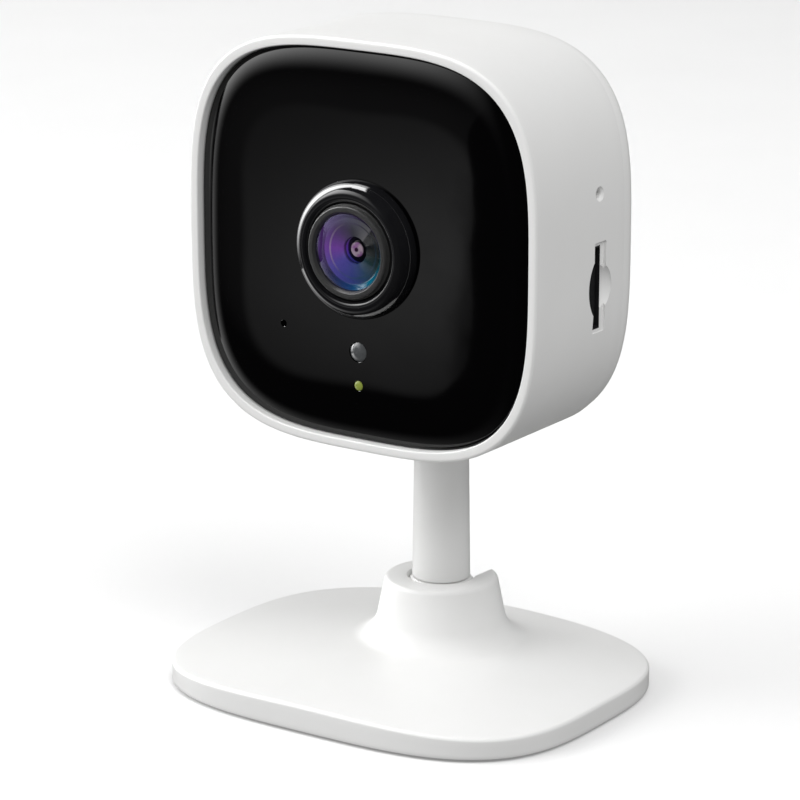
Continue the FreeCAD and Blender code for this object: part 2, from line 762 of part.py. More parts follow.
def make_aperture_stop():
    low = lens_front_y + 7.4
    return lens_turned([(iris_radius, low), (inner_glass_radius, low), (inner_glass_radius, low + 0.5),
                        (iris_radius + 0.5, low + 0.5)])


def make_rear_lens():
    low = lens_front_y + 7.95
    high = lens_rear_y - 1.85
    r = inner_glass_radius
    return lens_turned([(0, low), cap(low, r, low + 0.8), (r, high - 0.8), cap_in(r, high - 0.8, high)])


def make_lens_retainer():
    low = lens_rear_y - 1.8
    return lens_turned([(inner_glass_radius - 0.9, low), (inner_glass_radius, low),
                        (inner_glass_radius, low + 0.85), (inner_glass_radius - 0.9, low + 0.85)])


# ---------------------------------------------------------------- holder and filter slide
def make_lens_holder():
    """Square block with a threaded tower in front and the filter slide inside."""
    block_front = lens_rear_y - 0.3
    block = box(-holder_half_x, holder_half_x, block_front, sensor_board_y, head_z - holder_half_z,
                head_z + holder_half_z)
    tower = along_y(holder_tower_radius, holder_front_y, block_front + 1)
    body = block.fuse(tower.common(box(-20, 20, holder_front_y, block_front + 1, head_z - holder_tower_radius,
                                       head_z + holder_tower_radius)))
    body = body.cut(along_y(lens_thread_radius + screw_gap, holder_front_y - 1, lens_rear_y + 0.1))
    body = body.cut(along_y(filter_window / 2 - 0.2, lens_rear_y - 1, sensor_board_y))
    guide = slide_gap + filter_frame_thickness / 2
    reach_left = frame_left - 0.3
    reach_right = frame_right + filter_travel + 0.3
    body = body.cut(box(reach_left, reach_right, filter_y - guide, filter_y + guide,
                        head_z - filter_half_z - slide_gap, head_z + filter_half_z + slide_gap))
    body = body.cut(box(filter_tab_left - 0.3, filter_tab_right + filter_travel + 0.3, filter_y - guide,
                        filter_y + guide, head_z, head_z + holder_half_z + 1))
    return body.cut(box(-sensor_pocket, sensor_pocket, sensor_board_y - 1.1, sensor_board_y + 1,
                        head_z - sensor_pocket, head_z + sensor_pocket))


def make_filter_frame():
    """Plastic slide that carries the two filters side by side."""
    half_y = filter_frame_thickness / 2
    frame = box(frame_left, frame_right, filter_y - half_y, filter_y + half_y,
                head_z - filter_half_z, head_z + filter_half_z)
    frame = frame.fuse(box(filter_tab_left, filter_tab_right, filter_y - half_y, filter_y + half_y,
                           head_z + filter_half_z - 0.5, head_z + holder_half_z - filter_tab_drop))
    half = filter_window / 2
    for middle in (0.0, -filter_travel):
        frame = frame.cut(box(middle - half, middle + half, filter_y - 1, filter_y + 1,
                              head_z - half, head_z + half))
    return frame


def filter_glass(middle):
    half = filter_window / 2 - 0.03
    half_y = filter_frame_thickness / 2 - 0.1
    return box(middle - half, middle + half, filter_y - half_y, filter_y + half_y,
               head_z - half, head_z + half)


def make_filter_magnet():
    half_y = filter_frame_thickness / 2
    top = head_z + holder_half_z - filter_tab_drop
    return box(filter_tab_left, filter_tab_right, filter_y - half_y, filter_y + half_y, top, top + 1.3)


def make_filter_coil():
    """Electromagnet that throws the filter slide."""
    low = head_z + holder_half_z + 0.1
    front = lens_rear_y + 0.8
    back = sensor_board_y - 0.05
    body = box(-5.0, 5.0, front, back, low, low + coil_height)
    waist = box(-3.4, 3.4, front - 1, back + 1, low + 0.9, low + 3.3)
    waist = waist.cut(box(-3.4, 3.4, front + 0.5, back - 0.5, low, low + 5))
    return body.cut(waist)


# ---------------------------------------------------------------- boards
def spacer_places():
    left = [(-spacer_side, head_z + rise) for rise in (-spacer_down_left, spacer_up)]
    return left + [(spacer_side, head_z + rise) for rise in (-spacer_down_right, spacer_up)]


def make_led_board():
    """Ring-shaped board behind the panel."""
    board = head_prism(cavity_half_x - board_gap, cavity_half_z - board_gap, led_board_y, led_board_back_y)
    board = board.cut(along_y(led_board_hole, led_board_y - 1, led_board_back_y + 1))
    for x, z in post_places() + spacer_places():
        board = board.cut(along_y(small_screw_radius + screw_gap, led_board_y - 1, led_board_back_y + 1, x, z))
    return board


def make_led_board_screws():
    return [screw((x, led_board_y, z), (x, 0, z), 5.0) for x, z in post_places()]


def make_sensor_board():
    back = sensor_board_y + board_thickness
    board = box(-sensor_board_half, sensor_board_half, sensor_board_y, back,
                head_z - sensor_board_half, head_z + sensor_board_half)
    board = round_edges(board, 1.5, lambda e: e.BoundBox.YLength > board_thickness - 0.1)
    for x, z in spacer_places():
        board = board.cut(along_y(small_screw_radius + screw_gap, sensor_board_y - 1, back + 1, x, z))
    return board


def make_board_spacers():
    """Threaded pillars between the two front boards."""
    shapes = []
    for x, z in spacer_places():
        pillar = along_y(spacer_radius, led_board_back_y, sensor_board_y, x, z)
        shapes.append(pillar.cut(along_y(small_screw_radius + screw_gap, led_board_back_y - 1,
                                         sensor_board_y + 1, x, z)))
    return shapes


def make_spacer_screws():
    """One screw into each end of each pillar."""
    back = sensor_board_y + board_thickness
    shapes = [screw((x, led_board_y, z), (x, 0, z), 4.0) for x, z in spacer_places()]
    return shapes + [screw((x, back, z), (x, -99, z), 4.0) for x, z in spacer_places()]


def make_image_sensor():
    low = sensor_board_y - 0.95
    chip = box(-4.1, 4.1, low, sensor_board_y - 0.02, head_z - 3.5, head_z + 3.5)
    return chip.cut(box(-3.2, 3.2, low - 1, low + 0.15, head_z - 2.4, head_z + 2.4))


def make_main_board():
    """Board over the rear posts, cut off above the stem flange."""
    board = head_prism(cavity_half_x - board_gap, cavity_half_z - board_gap, main_board_y, main_board_back_y)
    wide = 2 * head_width
    board = board.cut(box(-wide, wide, -wide, wide, head_bottom_z - wide, main_board_bottom_z))
    board = board.cut(box(-jack_half_x - 0.1, jack_half_x + 0.1, -wide, wide, head_bottom_z - wide,
                          jack_bottom_z + jack_height + 0.1))
    for x, z in post_places():
        board = board.cut(along_y(post_radius + board_gap, main_board_y - 1, main_board_back_y + 1, x, z))
        away = math.copysign(20, z - head_z)
        side = math.copysign(20, x)
        corner = box(min(x, x + side), max(x, x + side), main_board_y - 1, main_board_back_y + 1,
                     min(z, z + away), max(z, z + away))
        board = board.cut(corner)
    for x, z in board_post_places():
        board = board.cut(along_y(small_screw_radius + screw_gap, main_board_y - 1,
                                  main_board_back_y + 1, x, z))
    return board


def make_main_board_screws():
    return [screw((x, main_board_y, z), (x, 99, z), 5.0) for x, z in board_post_places()]


def make_shield_can():
    high = main_board_y - 0.02
    can = box(-17.0, 2.0, high - 1.7, high, head_z - 6.0, head_z + 11.0)
    return can.cut(box(-16.8, 1.8, high - 1.5, high + 1, head_z - 5.8, head_z + 10.8))


def make_main_chip():
    high = main_board_y - 0.02
    return box(-13.5, -1.5, high - 1.1, high, head_z - 3.0, head_z + 9.0)


def make_sensor_flex():
    """Flat cable folded between the sensor board and the main board."""
    z = head_z + sensor_board_half - 2.5
    start = sensor_board_y + board_thickness + 0.05
    end = main_board_y - 0.05
    low = box(-4, 4, start, start + 0.3, z - 2, z + 4)
    high = box(-4, 4, end - 0.3, end, z - 2, z + 4)
    bend = box(-4, 4, start, end, z + 3.7, z + 4)
    return low.fuse([high, bend]).removeSplitter()


# ---------------------------------------------------------------- small front parts
def infrared_places():
    return [(infrared_ring * math.cos(math.radians(a)), head_z + infrared_ring * math.sin(math.radians(a)))
            for a in infrared_angles]


def make_infrared_leds():
    shapes = []
    for x, z in infrared_places():
        pack = box(x - 1.7, x + 1.7, led_board_y - 0.9, led_board_y - 0.02, z - 1.4, z + 1.4)
        bead = Part.makeSphere(1.3, Vector(x, led_board_y - 0.9, z))
        shapes.append(pack.fuse(bead.common(box(x - 2, x + 2, led_board_y - 3, led_board_y - 0.5, z - 2, z + 2))))
    return shapes


def make_light_baffle():
    """Rubber ring that keeps the infrared light out of the lens."""
    low = panel_back_y + 0.05
    high = led_board_y - 0.05
    ring = along_y(led_board_hole + 1.7, low, high)
    return ring.cut(along_y(led_board_hole + 0.2, low - 1, high + 1))


def flanged_window(x, z, radius, crown, flange, back_y):
    """Clear plug in a panel hole, with a flange behind the panel."""
    top = panel_face_y - crown
    plug = turned([(0, top), cap(top, radius, panel_face_y + 0.1),
                   (radius, panel_back_y + 0.05), (flange, panel_back_y + 0.05),
                   (flange, panel_back_y + 0.65), (radius, panel_back_y + 0.65), (radius, back_y),
                   (0, back_y)], (x, 0, z), (0, 1, 0))
    return plug


def make_sensor_window():
    return flanged_window(0, head_z - window_drop, window_radius, 0.3, window_radius + 0.7, led_board_y - 1.1)


def make_status_light_pipe():
    return flanged_window(0, head_z - status_drop, status_radius, 0.1, status_radius + 0.6, led_board_y - 0.9)


def chip_on_led_board(x, z, half_x, half_z, height):
    return box(x - half_x, x + half_x, led_board_y - height, led_board_y - 0.02, z - half_z, z + half_z)


def make_microphone_boot():
    x = -microphone_side
    z = head_z - microphone_drop
    sleeve = along_y(2.2, panel_back_y + 0.05, led_board_y - 1.25, x, z)
    return sleeve.cut(along_y(microphone_hole + 0.2, panel_back_y - 1, led_board_y, x, z))


# ---------------------------------------------------------------- ports
def make_card():
    """Memory card, held with its end just inside the slot."""
    half_y = card_thickness / 2
    half_z = card_width / 2
    card = box(card_end_x - card_length, card_end_x, port_y - half_y, port_y + half_y,
               card_z - half_z, card_z + half_z)
    grip = box(card_end_x - 0.9, card_end_x - 0.4, port_y + half_y - 0.2, port_y + half_y + 1,
               card_z - half_z + 0.8, card_z + half_z - 0.8)
    card = card.cut(grip)
    corner = box(card_end_x - card_length - 1, card_end_x - card_length + 6, port_y - 2, port_y + 2,
                 card_z + half_z - 1.2, card_z + half_z + 1)
    return card.cut(corner)


def make_card_socket():
    """Metal shell on the main board in which the card slides."""
    half_y = card_thickness / 2 + slide_gap
    half_z = card_width / 2 + slide_gap
    x0 = card_end_x - card_length - 1.4
    x1 = cavity_half_x - 0.7
    shell = box(x0, x1, port_y - half_y - socket_wall, main_board_y - 0.02,
                card_z - half_z - 1.0, card_z + half_z + 1.0)
    return shell.cut(box(x0 + 0.6, x1 + 1, port_y - half_y, port_y + half_y, card_z - half_z, card_z + half_z))


def make_reset_switch():
    """Side-push switch on the main board, behind the reset hole."""
    body = box(reset_body_x, reset_body_x + reset_body_length, port_y - reset_half_y - 0.1,
               main_board_y - 0.02, reset_z - 2.3, reset_z + 2.3)
    half_y = reset_pin_half_y + slide_gap
    half_z = reset_pin_half_z + slide_gap
    return body.cut(box(reset_body_x + 1.2, reset_body_x + 4, port_y - half_y, port_y + half_y,
                        reset_z - half_z, reset_z + half_z))


def make_reset_button():
    start = reset_body_x + 1.2 + reset_travel + 0.15
    return box(start, reset_body_x + reset_body_length + 1.0, port_y - reset_pin_half_y,
               port_y + reset_pin_half_y, reset_z - reset_pin_half_z, reset_z + reset_pin_half_z)


def make_power_inlet():
    """Barrel socket for the power plug, in a notch of the main board."""
    nose_y = rear_y - 0.35
    body_y = rear_inner_y - 0.1
    body = box(-jack_half_x, jack_half_x, body_y - jack_depth, body_y, jack_bottom_z, jack_bottom_z + jack_height)
    body = body.fuse(along_y(jack_nose_radius, body_y - 1, nose_y, 0, jack_z))
    body = body.cut(along_y(jack_bore_radius, nose_y - jack_bore_depth, nose_y + 1, 0, jack_z))
    pin = along_y(jack_pin_radius, nose_y - jack_bore_depth - 0.5, nose_y - 1.2, 0, jack_z)
    return body.fuse(pin)


def make_speaker():
    """Round speaker: a basket with a sunk cone facing the grille."""
    front = rear_inner_y - gasket_thickness - 0.1
    back = front - speaker_height
    r = speaker_radius
    return turned([(0, back), (0.55 * r, back), (0.55 * r, back + 0.9), (r, back + 1.7), (r, front),
                   (0.9 * r, front), ((0.66 * r, front - 0.75), (0.42 * r, front - 1.1)),
                   cap_in(0.42 * r, front - 1.1, front - 0.6)], (0, 0, speaker_z), (0, 1, 0))


def make_speaker_gasket():
    low = rear_inner_y - gasket_thickness - 0.05
    high = rear_inner_y - 0.05
    ring = along_y(speaker_radius, low, high, 0, speaker_z)
    return ring.cut(along_y(0.88 * speaker_radius, low - 1, high + 1, 0, speaker_z))


def make_antenna():
    """Flat Wi-Fi aerial on the inside of the left wall."""
    x = -cavity_half_x + 0.2
    return box(x, x + 0.5, -4.0, 4.0, head_z - 8.0, head_z + 8.0)


# ---------------------------------------------------------------- all the nodes
def make_nodes():
    return {
        "base_shell": [make_base_shell()],
        "base_cover": [make_base_cover()],
        "base_cover_screws": make_cover_screws(),
        "foot_pad": [make_foot_pad()],
        "ballast_plate": [make_ballast()],
        "socket_cup": [make_socket_cup()],
        "socket_spring": [make_socket_spring()],
        "pivot_ball": [make_pivot_ball()],
        "pivot_bolt": [make_pivot_bolt()],
        "pivot_washer": [make_pivot_washer()],
        "stem": [make_stem()],
        "stem_flange_screws": make_flange_screws(),
        "front_housing": [make_front_housing()],
        "rear_cover": [make_rear_cover()],
        "rear_cover_screws": make_rear_screws(),
        "front_panel": [make_front_panel()],
        "panel_gasket": [make_panel_gasket()],
        "lens_collar": [make_lens_collar()],
        "lens_barrel": [make_lens_barrel()],
        "lens_front_glass": [make_front_glass()],
        "lens_spacer": [make_lens_spacer()],
        "lens_second_glass": [make_second_lens()],
        "aperture_stop": [make_aperture_stop()],
        "lens_rear_glass": [make_rear_lens()],
        "lens_retainer": [make_lens_retainer()],
        "lens_holder": [make_lens_holder()],
        "filter_frame": [make_filter_frame()],
        "infrared_cut_filter": [filter_glass(0.0)],
        "clear_filter": [filter_glass(-filter_travel)],
        "filter_magnet": [make_filter_magnet()],
        "filter_coil": [make_filter_coil()],
        "image_sensor": [make_image_sensor()],
        "sensor_board": [make_sensor_board()],
        "board_spacers": make_board_spacers(),
        "spacer_screws": make_spacer_screws(),
        "led_board": [make_led_board()],
        "led_board_screws": make_led_board_screws(),
        "infrared_leds": make_infrared_leds(),
        "light_baffle": [make_light_baffle()],
        "light_sensor": [chip_on_led_board(0, head_z - window_drop, 1.0, 1.0, 0.9)],
        "sensor_window": [make_sensor_window()],
        "status_led": [chip_on_led_board(0, head_z - status_drop, 0.8, 0.5, 0.7)],
        "status_light_pipe": [make_status_light_pipe()],
        "microphone": [chip_on_led_board(-microphone_side, head_z - microphone_drop, 1.9, 1.5, 1.1)],
        "microphone_boot": [make_microphone_boot()],
        "main_board": [make_main_board()],
        "main_board_screws": make_main_board_screws(),
        "main_chip": [make_main_chip()],
        "shield_can": [make_shield_can()],
        "sensor_flex": [make_sensor_flex()],
        "card_socket": [make_card_socket()],
        "memory_card": [make_card()],
        "reset_switch": [make_reset_switch()],
        "reset_button": [make_reset_button()],
        "power_inlet": [make_power_inlet()],
        "speaker": [make_speaker()],
        "speaker_gasket": [make_speaker_gasket()],
        "antenna": [make_antenna()],
    }


os.makedirs("parts", exist_ok=True)
for node, shapes in make_nodes().items():
    solids = [solid for shape in shapes for solid in shape.Solids]
    whole = solids[0] if len(solids) == 1 else Part.makeCompound(solids)
    whole.exportStep("parts/" + node + ".step")
    volume = sum(solid.Volume for solid in solids)
    sound = all(solid.isValid() for solid in solids)
    print(node, len(solids), "solids", round(volume, 1), "mm3", "ok" if sound else "NOT VALID")
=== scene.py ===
"""Indoor security camera on a folding stem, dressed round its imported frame.

The numbers marked mm are millimetres; the scene is in metres, with +Z up and the lens looking
along -Y.  The sections follow the order in which the camera is put together."""

import bmesh
import bpy
import math
from mathutils import Matrix, Vector


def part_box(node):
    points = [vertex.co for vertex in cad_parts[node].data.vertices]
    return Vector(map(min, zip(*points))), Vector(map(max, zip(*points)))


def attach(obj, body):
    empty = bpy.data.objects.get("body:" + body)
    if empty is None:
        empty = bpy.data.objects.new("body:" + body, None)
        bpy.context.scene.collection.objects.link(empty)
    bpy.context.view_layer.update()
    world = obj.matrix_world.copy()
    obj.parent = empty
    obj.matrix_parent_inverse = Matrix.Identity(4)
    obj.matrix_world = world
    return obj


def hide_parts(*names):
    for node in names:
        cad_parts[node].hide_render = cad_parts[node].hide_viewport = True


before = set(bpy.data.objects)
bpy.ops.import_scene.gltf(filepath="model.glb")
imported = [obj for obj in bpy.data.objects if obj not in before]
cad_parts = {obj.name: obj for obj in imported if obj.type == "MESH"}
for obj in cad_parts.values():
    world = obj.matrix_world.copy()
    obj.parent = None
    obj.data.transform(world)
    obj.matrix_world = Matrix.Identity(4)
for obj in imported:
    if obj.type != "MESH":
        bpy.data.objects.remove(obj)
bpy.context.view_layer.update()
mm = 0.001

# ------------------------------------------------------------------------------ the studio
# A white sweep of floor with the camera standing on it, lit by a soft white sky, one large
# softbox high on the left and a smaller one high on the right.  Three glowing cards that
# only mirror reflections find give the glossy face its bright and dark parts.
view_turn = math.radians(34.217)
view_rise = math.radians(15.636)
view_reach = 528.16 * mm
aim = Vector((0.0, -2.645 * mm, 44.35 * mm))
view_back = Vector((math.sin(view_turn) * math.cos(view_rise),
                    -math.cos(view_turn) * math.cos(view_rise), math.sin(view_rise)))
camera = bpy.data.objects.new("studio_camera", bpy.data.cameras.new("studio_camera"))
bpy.context.scene.collection.objects.link(camera)
camera.data.lens = 162.8
camera.data.sensor_width = 36.0
camera.location = aim + view_back * view_reach
camera.rotation_mode = "QUATERNION"
camera.rotation_quaternion = (-view_back).to_track_quat("-Z", "Y")
bpy.context.scene.camera = camera
bpy.context.scene.view_settings.view_transform = "Standard"

sky = bpy.data.worlds.new("studio_sky")
bpy.context.scene.world = sky
sky.use_nodes = True
sky.cycles_visibility.glossy = False


def softbox(name, turn, rise, reach, wide, tall, power):
    """Large soft light that faces the camera's middle from a turn and a rise in degrees."""
    turn = math.radians(turn)
    rise = math.radians(rise)
    light = bpy.data.lights.new(name, "AREA")
    light.shape = "RECTANGLE"
    light.size = wide
    light.size_y = tall
    light.energy = power
    lamp = bpy.data.objects.new(name, light)
    bpy.context.scene.collection.objects.link(lamp)
    away = Vector((math.sin(turn) * math.cos(rise), -math.cos(turn) * math.cos(rise), math.sin(rise)))
    lamp.location = aim + away * reach
    lamp.rotation_mode = "QUATERNION"
    lamp.rotation_quaternion = (-away).to_track_quat("-Z", "Y")
    lamp.visible_camera = False
    lamp.visible_glossy = False


softbox("key_softbox", -50.0, 29.0, 1.3, 1.1, 1.1, 12.5)
softbox("right_softbox", 62.0, 52.0, 1.3, 0.8, 0.8, 7.8)


class Wash:
    """An amount that varies over a surface.  Sums on it add maths nodes to its tree."""

    def __init__(self, tree, socket=None):
        self.tree = tree
        self.socket = socket

    def make(self, kind, settings=None, inputs=None, out=0):
        """Any other node, with its settings and its inputs filled in."""
        node = self.tree.nodes.new(kind)
        for key, value in (settings or {}).items():
            setattr(node, key, value)
        for key, value in (inputs or {}).items():
            if isinstance(value, Wash):
                self.tree.links.new(value.socket, node.inputs[key])
            else:
                node.inputs[key].default_value = value
        return Wash(self.tree, node.outputs[out])

    def sum_up(self, operation, first, second):
        return self.make("ShaderNodeMath", {"operation": operation}, {0: first, 1: second})

    def __add__(self, other):
        return self.sum_up("ADD", self, other)

    def __sub__(self, other):
        return self.sum_up("SUBTRACT", self, other)

    def __rsub__(self, other):
        return self.sum_up("SUBTRACT", other, self)

    def __mul__(self, other):
        return self.sum_up("MULTIPLY", self, other)

    def __truediv__(self, other):
        return self.sum_up("DIVIDE", self, other)

    def __rtruediv__(self, other):
        return self.sum_up("DIVIDE", other, self)

    def __pow__(self, other):
        return self.sum_up("POWER", self, other)

    __radd__ = __add__
    __rmul__ = __mul__


def start_finish(name, **fixed):
    """New finish with its fixed values set; gives it, the place on the piece and the shader."""
    finish = bpy.data.materials.new(name)
    finish.use_nodes = True
    shader = finish.node_tree.nodes["Principled BSDF"]
    for key, value in fixed.items():
        shader.inputs[key.replace("_", " ")].default_value = value
    place = Wash(finish.node_tree).make("ShaderNodeTexCoord", out="Object")
    return finish, place, shader


def grain(place, size, detail=2.0, stretch=(1.0, 1.0, 1.0)):
    """Cloudy pattern from 0 to 1 whose lumps are about this many metres across."""
    if stretch != (1.0, 1.0, 1.0):
        place = place.make("ShaderNodeMapping", None, {"Vector": place, "Scale": stretch}, "Vector")
    return place.make("ShaderNodeTexNoise", None,
                      {"Vector": place, "Scale": 1.0 / size, "Detail": detail, "Roughness": 0.55})


def between(amount, low, high):
    """The amount stretched so that low gives 0 and high gives 1, eased at both ends."""
    return amount.make("ShaderNodeMapRange", {"interpolation_type": "SMOOTHSTEP"},
                       {"Value": amount, "From Min": low, "From Max": high})


def blend_shades(amount, first, second):
    """Colour that goes from first to second as the amount goes from 0 to 1."""
    inputs = {0: amount}
    for key, shade in ((6, first), (7, second)):
        inputs[key] = shade if isinstance(shade, Wash) else (*shade, 1.0)
    return amount.make("ShaderNodeMix", {"data_type": "RGBA"}, inputs, 2)


def feed(shader, **amounts):
    """Lead varying amounts into a shader's sockets."""
    for key, amount in amounts.items():
        amount.tree.links.new(amount.socket, shader.inputs[key.replace("_", " ")])


def relief(height, depth, strength=1.0):
    """Surface relief of this depth in metres from a height of 0 to 1."""
    return height.make("ShaderNodeBump", None,
                       {"Height": height, "Distance": depth, "Strength": strength})


def squircle(half_wide, half_tall, power, steps):
    """Points (across, up) round a square with bulging sides and soft corners."""
    points = []
    for step in range(steps):
        turn = 2 * math.pi * step / steps
        reach = abs(math.cos(turn) / half_wide) ** power + abs(math.sin(turn) / half_tall) ** power
        reach = reach ** (-1 / power)
        points.append((reach * math.cos(turn), reach * math.sin(turn)))
    return points


def skin(name, rings, looped=False, capped=False):
    """Mesh object stretched over rings of points; a ring of one point or a cap closes an end."""
    shell = bmesh.new()
    rows = [[shell.verts.new(point) for point in ring] for ring in rings]
    pairs = list(zip(rows, rows[1:]))
    if looped:
        pairs.append((rows[-1], rows[0]))
    for first, second in pairs:
        count = max(len(first), len(second))
        for i in range(count if count > 1 else 0):
            j = (i + 1) % count
            corners = [first[i % len(first)], first[j % len(first)],
                       second[j % len(second)], second[i % len(second)]]
            shell.faces.new(list(dict.fromkeys(corners)))
    if capped:
        shell.faces.new(rows[0])
        shell.faces.new(rows[-1])
    bmesh.ops.recalc_face_normals(shell, faces=shell.faces)
    mesh = bpy.data.meshes.new(name)
    shell.to_mesh(mesh)
    shell.free()
    piece = bpy.data.objects.new(name, mesh)
    bpy.context.scene.collection.objects.link(piece)
    return piece


sky_ways = Wash(sky.node_tree).make("ShaderNodeTexCoord", out="Generated")
sky_rise = sky_ways.make("ShaderNodeSeparateXYZ", None, {0: sky_ways}, 2)
sky_glow = between(sky_rise, -0.25, 0.9) * 0.28 + 0.36
sky.node_tree.links.new(sky_glow.socket, sky.node_tree.nodes["Background"].inputs["Strength"])
sky.node_tree.nodes["Background"].inputs["Color"].default_value = (1.0, 1.0, 1.0, 1.0)

floor_material, floor_place, floor_shader = start_finish("floor_paper", Roughness=0.9)
paper = grain(floor_place, 60 * mm)
feed(floor_shader, Base_Color=blend_shades(paper, (0.90, 0.90, 0.90), (0.93, 0.93, 0.93)))
floor = skin("floor", [[(4.0 * math.cos(t * math.pi / 24), 4.0 * math.sin(t * math.pi / 24), 0.0)
                        for t in range(48)], [(0.0, 0.0, 0.0)]])
floor.location.z = -0.05 * mm
floor.data.materials.append(floor_material)
floor.visible_glossy = False
floor.visible_diffuse = False


def glow_card(name, middle, across, upward, pattern):
    """Glowing card that only mirror reflections see, from its corner vectors.

    The pattern gives the glow from the distances across and up it, and from its middle."""
    glow, place, _ = start_finish(name)
    sheet = skin(name, [[middle - across - upward, middle + across - upward,
                         middle + across + upward, middle - across + upward], [middle]])
    sheet.data.materials.append(glow)
    span = place.make("ShaderNodeVectorMath", {"operation": "SUBTRACT"}, {0: place, 1: middle}, "Vector")
    reaches = [span.make("ShaderNodeVectorMath", {"operation": "DOT_PRODUCT"},
                         {0: span, 1: way.normalized()}, "Value") for way in (across, upward)]
    away = span.make("ShaderNodeVectorMath", {"operation": "LENGTH"}, {0: span}, "Value")
    lit = pattern(*reaches, away)
    shine = lit.make("ShaderNodeEmission", None, {"Strength": lit})
    glow.node_tree.links.new(shine.socket, glow.node_tree.nodes["Material Output"].inputs["Surface"])
    glow.cycles.emission_sampling = "NONE"
    sheet.visible_camera = False
    sheet.visible_diffuse = False
    sheet.visible_shadow = False


def front_glow(right, up, away):
    """Dim haze that ends in a straight edge on the right, inside a bright surround."""
    lean = up.sum_up("MAXIMUM", up - 0.065, 0.0) * 0.8
    haze = between(right - up * 0.10 - lean, 0.0300, 0.0285) * between(right, -0.75, 0.06)
    haze = haze * between(up, -0.062, 0.045) * between(up, 0.62, 0.05)
    middle = between(right, -0.12, 0.01) * between(up, 0.13, 0.02)
    surround = between(away, 0.40, 0.80) * between(right, 0.55, -0.75) * between(up, -1.0, 0.5)
    return haze * (middle * 0.46 + 0.08) + surround * 6.0 + 0.015


def left_glow(deep, tall, away):
    return between(deep, -0.8, -0.62) * between(deep, 0.20, -0.02) * between(tall, -1.0, -0.25) * 11.0


def top_glow(deep, wide, away):
    return between(deep, -0.8, -0.65) * between(deep, 0.30, 0.0) * between(wide, 0.34, 0.22) * 11.0


seen_way = Vector((-view_back.x, view_back.y, -view_back.z))
seen_right = Vector((-view_back.y, -view_back.x, 0.0)).normalized()
seen_up = seen_way.cross(seen_right)
face_middle = Vector((0.0, -14.6 * mm, 69.0 * mm))
glow_card("front_glow_card", face_middle + seen_way, seen_right * 1.3, seen_up * 1.3, front_glow)
left_card_middle = Vector((-1.0, 0.30, 0.65))
top_card_middle = Vector((-0.65, 0.15, 1.65))
card_depth = Vector((0.0, 0.85, 0.0))
glow_card("left_glow_card", left_card_middle, card_depth, Vector((0.0, 0.0, 1.0)), left_glow)
glow_card("top_glow_card", top_card_middle, card_depth, Vector((0.35, 0.0, 0.0)), top_glow)

# ------------------------------------------------------------------------------ base shell
# The white foot that stands on the table: a shallow domed slab with a hollow boss, moulded
# in one piece of ABS with a fine satin texture.  The boss holds the ball in its mouth, and a
# slot runs back from it so that the stem can lie down.
shell_low, shell_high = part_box("base_shell")
ball_low, ball_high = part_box("pivot_ball")
base_half_wide = shell_high.x
base_half_deep = shell_high.y
base_power = 3.25
base_lower_z = shell_low.z
stem_axis_y = (ball_low.y + ball_high.y) / 2
ball_radius = ball_high.x
ball_z = ball_low.z + ball_radius
crown_z = 5.4 * mm
dome_radius = 330 * mm
edge_round = 0.5 * mm
mouth_radius = 5.1 * mm
boss_top_radius = 8.5 * mm
boss_foot_radius = 10.3 * mm
boss_top_z = shell_high.z - 0.25 * mm
boss_round = 0.8 * mm
boss_fillet = 3.2 * mm
slab_wall = 1.8 * mm
slab_roof = 1.6 * mm


def eased(corners, steps=6):
    """Points of a profile through corners (across, along, radius), each corner rounded."""
    path = []
    for i, (across, along, radius) in enumerate(corners):
        here = Vector((across, along))
        if radius == 0:
            path.append(here)
            continue
        before = (Vector(corners[i - 1][:2]) - here).normalized()
        after = (Vector(corners[(i + 1) % len(corners)][:2]) - here).normalized()
        half = before.angle(after) / 2
        centre = here + (before + after).normalized() * (radius / math.sin(half))
        start = (here + before * (radius / math.tan(half)) - centre).normalized()
        end = (here + after * (radius / math.tan(half)) - centre).normalized()
        for step in range(steps + 1):
            path.append(centre + start.slerp(end, step / steps) * radius)
    return path


def settle(piece):
    """Work the piece's modifiers into its mesh."""
    ready = piece.evaluated_get(bpy.context.evaluated_depsgraph_get())
    mesh = bpy.data.meshes.new_from_object(ready)
    piece.modifiers.clear()
    piece.data = mesh


def cut(piece, *tools):
    """Take the tools' shapes out of the piece."""
    for tool in tools:
        knife = piece.modifiers.new("cut", "BOOLEAN")
        knife.operation = "DIFFERENCE"
        knife.solver = "EXACT"
        knife.object = tool
    settle(piece)
    for tool in tools:
        bpy.data.objects.remove(tool)


def smooth(piece, angle=34):
    """Smooth shading that keeps the edges sharper than this angle."""
    piece.data.shade_smooth()
    piece.data.set_sharp_from_angle(angle=math.radians(angle))


def mount(piece, finish, body, slot, *nodes):
    """Give a finished piece its material, body and the CAD nodes it stands for; the slot argument is not
    used.
    """
    piece.data.materials.clear()
    piece.data.materials.append(finish)
    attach(piece, body)
    if nodes:
        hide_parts(*nodes)


def edge_reach(turn, inset):
    """Distance from the stem's axis to the base outline, drawn in by inset."""
    near = 0.0
    far = 2 * base_half_wide
    for _ in range(40):
        middle = (near + far) / 2
        across = abs(middle * math.cos(turn)) / (base_half_wide - inset)
        deep = abs(stem_axis_y + middle * math.sin(turn)) / (base_half_deep - inset)
        if across ** base_power + deep ** base_power < 1:
            near = middle
        else:
            far = middle
    return near


def dome_height(x, y, radius=dome_radius):
    """Height of the slab's shallow dome."""
    return crown_z - dome_radius + math.sqrt(radius ** 2 - x ** 2 - y ** 2)


def base_ring(steps, reach_of, height_of):
    """Ring round the stem's axis from a reach and a height for each turn."""
    ring = []
    for step in range(steps):
        turn = 2 * math.pi * step / steps
        reach = reach_of(turn)
        x = reach * math.cos(turn)
        y = stem_axis_y + reach * math.sin(turn)
        ring.append((x, y, height_of(x, y)))
    return ring


def level(value):
    return lambda *_: value


